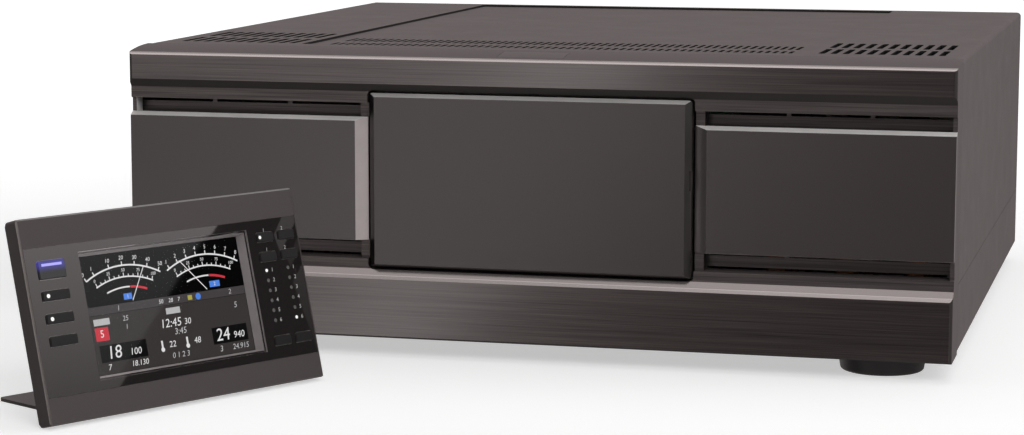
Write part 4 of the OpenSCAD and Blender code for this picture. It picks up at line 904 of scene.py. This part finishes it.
def on_dial(hub, radius, turn):
    """Point of a dial at an angle in degrees from straight up."""
    return (hub[0] + radius * math.sin(math.radians(turn)),
            hub[1] + radius * math.cos(math.radians(turn)))


def draw_dial(white, red, marks, hub, needle):
    """Two scales with ticks and plain numbers, a third line with a red part, the needle."""
    white.arc(hub, OUTER_RADIUS, OUTER_WIDTH, -OUTER_REACH, OUTER_REACH)
    white.arc(hub, INNER_RADIUS, INNER_WIDTH, -INNER_REACH, INNER_REACH)
    for text, share in marks.items():
        turn = (2 * share - 1) * OUTER_REACH
        white.bar(on_dial(hub, OUTER_RADIUS, turn),
                  on_dial(hub, OUTER_RADIUS + MARK_LENGTH, turn), MARK_WIDTH)
        white.figures(text, *on_dial(hub, OUTER_RADIUS + MARK_FIGURE_AWAY, turn),
                      MARK_FIGURE_H, SLANT)
    for i in range(TICK_STEPS + 1):
        turn = (2 * i / TICK_STEPS - 1) * TICK_REACH
        numbered = i % TICKS_PER_FIGURE == 0
        tip = INNER_RADIUS + (LONG_TICK_LENGTH if numbered else TICK_LENGTH)
        white.bar(on_dial(hub, INNER_RADIUS, turn), on_dial(hub, tip, turn), TICK_WIDTH)
        if numbered:
            white.figures(str(i // TICKS_PER_FIGURE * FIGURE_STEP),
                          *on_dial(hub, INNER_RADIUS + TICK_FIGURE_AWAY, turn),
                          TICK_FIGURE_H, SLANT)
    white.arc(hub, THIRD_RADIUS, THIRD_WIDTH, *THIRD_SPAN, steps=16)
    red.arc(hub, THIRD_RADIUS, RED_WIDTH, *RED_SPAN, steps=12)
    white.bar(*needle, NEEDLE_WIDTH)


def build_screen():
    """The display's picture: two dials, a status strip and the lower panel with its figures."""
    layers = {name: Sheet(SCREEN_FRONT - away, screen_place)
              for name, (away, _, _) in SCREEN_LAYERS.items()}
    for marks, hub, needle in DIALS:
        draw_dial(layers["white"], layers["red"], marks, hub, needle)
    for layer, *field in SCREEN_FIELDS:
        layers[layer].box(*field)
    for layer, *dot in SCREEN_DOTS:
        layers[layer].disc(*dot)
    for layer, *figures in SCREEN_FIGURES:
        layers[layer].figures(*figures)
    for name, (_, material, color) in SCREEN_LAYERS.items():
        layers[name].make("screen_" + name, lit(material, color))


build_screen()


# ---- keys, lamps and numerals

def build_lights():
    """Lit bar and dots on the keys, lit lamps, and the printed numerals at the lamps and keys,
    which carry a painted glow.
    """
    bar = Sheet(KEY_FRONT - INK)
    bar.box(LEFT_KEYS_X - POWER_BAR_SIZE[0] / 2, POWER_BAR_Z, *POWER_BAR_SIZE)
    bar.make("power_light", lit("power_blue", POWER_LIGHT), "key_power")
    glow = lit("lamp_white", LAMP_LIGHT)
    for body, z in KEY_DOTS:
        dot = Sheet(KEY_FRONT - INK)
        dot.disc(KEY_DOT_X, z, KEY_DOT_RADIUS)
        dot.make(body + "_light", glow, body)
    dot = Sheet(KEY_FRONT - INK)
    dot.disc(*INPUT_DOT, INPUT_DOT_RADIUS)
    dot.make("key_input_light", glow, "key_input_1")
    lamps = Sheet(FASCIA_FRONT + LAMP_DEPTH)
    lamps.disc(LAMP_COLUMNS[0], LAMP_ROWS[0], LAMP_RADIUS)
    lamps.disc(LAMP_COLUMNS[1], LAMP_ROWS[-1], LAMP_RADIUS)
    lamps.make("lit_lamps", glow)
    numerals = Sheet(FASCIA_FRONT - FASCIA_INK)
    for x in LAMP_COLUMNS:
        for row, z in enumerate(LAMP_ROWS):
            numerals.figures(str(row + 1), x + LAMP_FIGURE_AWAY, z, LAMP_FIGURE_H,
                             NUMERAL_SLANT)
    for z in RIGHT_KEY_FIGURES_Z:
        for i, x in enumerate(RIGHT_KEYS_X):
            numerals.figures(str(i + 1), x, z, KEY_FIGURE_H, NUMERAL_SLANT)
    # the numerals are print that gives its own light, a painted glow
    numerals.make("lamp_numerals", lit("painted_glow_print", NUMERAL_LIGHT))


build_lights()


# ---- print on the rear panel

# Places in the rear panel's own frame, in mm
COAX_TOP_Z = CASE_TOP / MM - 16.5
COAX_STEP_Z = 31
ANTENNA_X, ANTENNA_STEP_X = -165.5, 33
INPUT_X = -99.5
CONTROL_X, CONTROL_Z, CONTROL_STEP_Z = -88.0, 68, 22
PHONO_X, PHONO_STEP_X, PHONO_Z = -162.5, 19, 39.6
BREAKER_X, BREAKER_ON_Z, BREAKER_OFF_Z = 150.5, 125.5, 78.5
EARTH_X, EARTH_Z, EARTH_STROKE, EARTH_STEP_Z = -190.5, 44.0, 0.8, 1.7
EARTH_STEM_H = 3.0
EARTH_BARS = (8.0, 5.2, 2.4)
# Heights of the figures
COAX_FIGURE_H, CONTROL_FIGURE_H, PHONO_FIGURE_H, BREAKER_TEXT_H = 3.2, 2.8, 2.6, 3.0


def build_rear_print():
    """Plain numbers at the sockets, ON and OFF at the breaker and the earth sign."""
    ink = Sheet(-INK, rear_place)
    for column in range(2):
        for row in range(3):
            ink.figures(str(3 * column + row + 1), ANTENNA_X + ANTENNA_STEP_X * column,
                        COAX_TOP_Z - COAX_STEP_Z * row, COAX_FIGURE_H)
    for i in range(2):
        ink.figures(str(i + 1), INPUT_X, COAX_TOP_Z - COAX_STEP_Z * i, COAX_FIGURE_H)
        ink.figures(str(i + 1), CONTROL_X, CONTROL_Z - CONTROL_STEP_Z * i, CONTROL_FIGURE_H)
    for i in range(4):
        ink.figures(str(i + 1), PHONO_X + PHONO_STEP_X * i, PHONO_Z, PHONO_FIGURE_H)
    ink.figures("ON", BREAKER_X, BREAKER_ON_Z, BREAKER_TEXT_H)
    ink.figures("OFF", BREAKER_X, BREAKER_OFF_Z, BREAKER_TEXT_H)
    ink.box(EARTH_X - EARTH_STROKE / 2, EARTH_Z, EARTH_STROKE, EARTH_STEM_H)
    for i, wide in enumerate(EARTH_BARS):
        ink.box(EARTH_X - wide / 2, EARTH_Z - EARTH_STROKE - EARTH_STEP_Z * i, wide,
                EARTH_STROKE)
    ink.make("rear_print", grained("print_ink", REAR_INK_COLOR, 0.5, bump=0.05), "cabinet")


build_rear_print()


# ---- softened edges

# CAD node, the piece that stands for it and its body, width of the soft edge in mm
SOFTENED = (
    ("left_front_plate", "left_plate_shown", "cabinet", 0.35),
    ("right_front_plate", "right_plate_shown", "cabinet", 0.35),
    ("dock_cover", "dock_cover_shown", "dock_cover", 0.3),
    ("controller_front", "controller_front_shown", "controller", 0.25),
    ("controller_back", "controller_back_shown", "controller", 0.4),
    ("stand", "stand_shown", "stand", 0.25),
    *((name, name + "_shown", name, 0.2) for name in plain_keys),
    ("key_power", "key_power_shown", "key_power", 0.3),
    ("feet", "feet_shown", "cabinet", 0.4),
)
for node_name, piece_name, body, width in SOFTENED:
    soften(node_name, piece_name, body, width * MM)

# Light passes the clear window, and the cabinet's glossy faces mirror the studio alone
nodes["window"].visible_shadow = False
for piece in bpy.data.objects:
    if piece.type == "MESH" and piece.get("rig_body") not in ("cabinet", "dock_cover"):
        piece.visible_glossy = False

# ---- floor and studio

FLOOR_HALF = 6.0
FLOOR_COLOR = (0.72, 0.72, 0.72, 1.0)
# The floor's own light for the camera: near and far distance, then its strength at each
FLOOR_GLOW = (0.4, 1.6, 0.51, 0.92)
WORLD_FILL = 0.2

# Brightness of the studio in the eyes of glossy surfaces, by direction in degrees to the
# right of the cabinet's front: a bright panel at the left front, dark flags beside it
STUDIO = ((-180, 0.35), (-108, 1.0), (-88, 0.05), (-58, 0.03), (-38, 0.60), (-23, 1.05),
          (-18, 1.35), (-15.5, 1.6), (-13.3, 3.15), (-11.5, 1.15), (-9.8, 0.22), (-7, 0.08),
          (-4, 0.02), (16, 0.05), (30, 0.60), (42, 1.0), (60, 0.6), (110, 0.40), (180, 0.35))
STUDIO_TOP = 3.2
STUDIO_EDGE_SLANT = 0.73
STUDIO_EDGE_DROP = 0.085
STUDIO_OVERHEAD = (0.5, 0.85)


def build_floor():
    """Pale floor, whose own light shows to the camera alone."""
    finish = Finish("pale_floor")
    finish.set(Base_Color=FLOOR_COLOR, Roughness=0.9, Specular_IOR_Level=0.1,
               Emission_Color=WHITE)
    distance = finish.tree.nodes.new("ShaderNodeVectorMath")
    distance.operation = "LENGTH"
    finish.tree.links.new(finish.coords, distance.inputs[0])
    paths = finish.tree.nodes.new("ShaderNodeLightPath")
    glow = map_range(finish.tree, distance.outputs["Value"], *FLOOR_GLOW)
    finish.link(finish.both(paths.outputs["Is Camera Ray"], glow), "Emission Strength")
    bm = bmesh.new()
    bmesh.ops.create_grid(bm, x_segments=1, y_segments=1, size=FLOOR_HALF)
    floor = new_object("floor", mesh_from(bm, "floor"))
    floor.data.materials.append(finish.material)
    floor.visible_glossy = False


def studio_level(tree):
    """Brightness socket for glossy rays of the world."""
    parts = tree.nodes.new("ShaderNodeSeparateXYZ")
    tree.links.new(tree.nodes.new("ShaderNodeTexCoord").outputs["Generated"], parts.inputs[0])
    turn = math_node(tree, "ARCTAN2", parts.outputs["X"],
                     math_node(tree, "MULTIPLY", parts.outputs["Y"], -1.0))
    slant = math_node(tree, "MULTIPLY", math_node(tree, "ADD", parts.outputs["Z"],
                                                  STUDIO_EDGE_DROP), STUDIO_EDGE_SLANT)
    turn = math_node(tree, "SUBTRACT", turn, slant)
    ramp = tree.nodes.new("ShaderNodeFloatCurve")
    tree.links.new(map_range(tree, turn, -math.pi, math.pi, 0.0, 1.0), ramp.inputs["Value"])
    curve = ramp.mapping.curves[0]
    for degrees, level in STUDIO[1:-1]:
        curve.points.new(degrees / 360 + 0.5, level / STUDIO_TOP)
    curve.points[0].location = (0.0, STUDIO[0][1] / STUDIO_TOP)
    curve.points[-1].location = (1.0, STUDIO[-1][1] / STUDIO_TOP)
    for point in curve.points:
        point.handle_type = "AUTO_CLAMPED"
    ramp.mapping.update()
    around = math_node(tree, "MULTIPLY", ramp.outputs["Value"], STUDIO_TOP)
    overhead = map_range(tree, parts.outputs["Z"], *STUDIO_OVERHEAD, 0.0, 1.0)
    low = math_node(tree, "MULTIPLY", around, math_node(tree, "SUBTRACT", 1.0, overhead))
    return math_node(tree, "ADD", low, overhead)


def build_world():
    """White world; glossy surfaces see the studio's panels and flags, in a warm tint."""
    world = bpy.data.worlds.new("studio")
    bpy.context.scene.world = world
    world.use_nodes = True
    tree = world.node_tree
    ground = tree.nodes["Background"]
    paths = tree.nodes.new("ShaderNodeLightPath")
    mirrored = paths.outputs["Is Glossy Ray"]
    seen = math_node(tree, "ADD", paths.outputs["Is Camera Ray"],
                     paths.outputs["Is Transmission Ray"], clamp=True)
    unseen = math_node(tree, "SUBTRACT", 1.0,
                       math_node(tree, "ADD", seen, mirrored, clamp=True))
    studio = math_node(tree, "MULTIPLY", mirrored, studio_level(tree))
    fill = math_node(tree, "MULTIPLY", unseen, WORLD_FILL)
    total = math_node(tree, "ADD", math_node(tree, "ADD", seen, studio), fill)
    tint = mix_node(tree, "MIX", mirrored, WHITE, WARM)
    feed_node(tree, ground, Color=tint, Strength=total)


# ---- lamps and camera

# Lamps: name, place and aim in metres, size, watts
LAMPS = (
    ("key", (1.3, -1.9, 1.5), (0, 0, 0.05), (1.4, 1.2), 26),
    ("top", (0.1, 0.3, 2.2), (0, 0, 0), (2.0, 2.0), 11),
    ("side", (2.3, 0.3, 0.9), (0.1, 0.2, 0.1), (1.2, 1.2), 12),
)

# The camera's place is given from the middle of the cabinet's front, in metres
CAMERA_FROM_FRONT = Vector((0.3308, -1.3142, 0.2586))
CAMERA_YAW = -0.2521
CAMERA_PITCH = 0.1348
CAMERA_ROLL = -0.0011
IMAGE_W = 1024  # pixels
FOCAL_LENGTH = 2729  # in the same pixels
SENSOR_W = 36.0  # millimetres


def add_lamp(name, place, aim, size, watts):
    """Soft rectangular lamp, which no glossy or clear surface shows."""
    data = bpy.data.lights.new(name, "AREA")
    data.shape = "RECTANGLE"
    data.size, data.size_y = size
    data.energy = watts
    lamp = new_object(name, data)
    lamp.location = place
    lamp.rotation_euler = (Vector(aim) - Vector(place)).to_track_quat("-Z", "Y").to_euler()
    lamp.visible_glossy = False
    lamp.visible_transmission = False


def build_camera():
    """Camera at the photograph's viewing angle."""
    forward = Vector((math.sin(CAMERA_YAW) * math.cos(CAMERA_PITCH),
                      math.cos(CAMERA_YAW) * math.cos(CAMERA_PITCH), -math.sin(CAMERA_PITCH)))
    right = Vector((math.cos(CAMERA_YAW), -math.sin(CAMERA_YAW), 0))
    up = right.cross(forward)
    turned = Matrix((right, up, -forward)).transposed().to_4x4()
    data = bpy.data.cameras.new("camera")
    data.lens = FOCAL_LENGTH / IMAGE_W * SENSOR_W
    data.sensor_width = SENSOR_W
    camera = new_object("camera", data)
    place = CAMERA_FROM_FRONT + Vector((0, FRONT_Y, 0))
    camera.matrix_world = (Matrix.Translation(place) @ turned
                           @ Matrix.Rotation(-CAMERA_ROLL, 4, "Z"))
    bpy.context.scene.camera = camera
    return camera


# Edge of the soft panel's reflection on the fascia, in the controller's millimetres
GLOSS_EDGE = ((27.0, -1.0), (135.6, 100.0))
GLOSS_CARD_AWAY = 900.0
GLOSS_CARD_SIZE = 420.0
# Strength of the panel and of the flag beside it, at the fascia's foot and top
GLOSS_PANEL = (0.8, 2.8)
GLOSS_FLAG = (0.08, 0.08)


def build_gloss_card(camera, name, levels, keep_left):
    """Half of a card that shows only in glossy and through clear surfaces. Panel and flag meet
    in a line whose reflection crosses the fascia from its lower left to its upper right."""
    eye = controller_place.inverted() @ camera.matrix_world.translation
    mirrored = Vector((eye.x, 2 * FASCIA_FRONT - eye.y, eye.z))
    points = []
    for x, z in GLOSS_EDGE:
        point = Vector((x, FASCIA_FRONT, z))
        ray = point - mirrored
        points.append(point + ray * (-GLOSS_CARD_AWAY - point.y) / ray.y)
    heights = [(controller_place @ point).z for point in points]
    middle = (points[0] + points[1]) / 2
    cut_normal = (points[0] - mirrored).cross(points[1] - mirrored).normalized()
    upright = Matrix.Translation(middle) @ Matrix.Rotation(math.pi / 2, 4, "X")
    bm = bmesh.new()
    bmesh.ops.create_grid(bm, x_segments=1, y_segments=1, size=GLOSS_CARD_SIZE, matrix=upright)
    bmesh.ops.bisect_plane(bm, geom=[*bm.verts, *bm.edges, *bm.faces], plane_co=middle,
                           plane_no=cut_normal, clear_outer=not keep_left,
                           clear_inner=keep_left)
    bm.transform(controller_place)
    card = new_object(name, mesh_from(bm, name))
    material = bpy.data.materials.new(name + "_light")
    material.use_nodes = True
    tree = material.node_tree
    glow = tree.nodes.new("ShaderNodeEmission")
    place = tree.nodes.new("ShaderNodeSeparateXYZ")
    tree.links.new(tree.nodes.new("ShaderNodeTexCoord").outputs["Object"], place.inputs[0])
    feed_node(tree, glow, Strength=map_range(tree, place.outputs["Z"], *heights, *levels))
    feed_node(tree, tree.nodes["Material Output"], Surface=glow.outputs[0])
    tree.nodes.remove(tree.nodes["Principled BSDF"])
    card.data.materials.append(material)
    card.visible_camera = False
    card.visible_diffuse = False
    card.visible_shadow = False


build_floor()
build_world()
for lamp in LAMPS:
    add_lamp(*lamp)
camera = build_camera()
build_gloss_card(camera, "gloss_panel", GLOSS_PANEL, True)
build_gloss_card(camera, "gloss_flag", GLOSS_FLAG, False)

bpy.context.scene.view_settings.view_transform = "Standard"
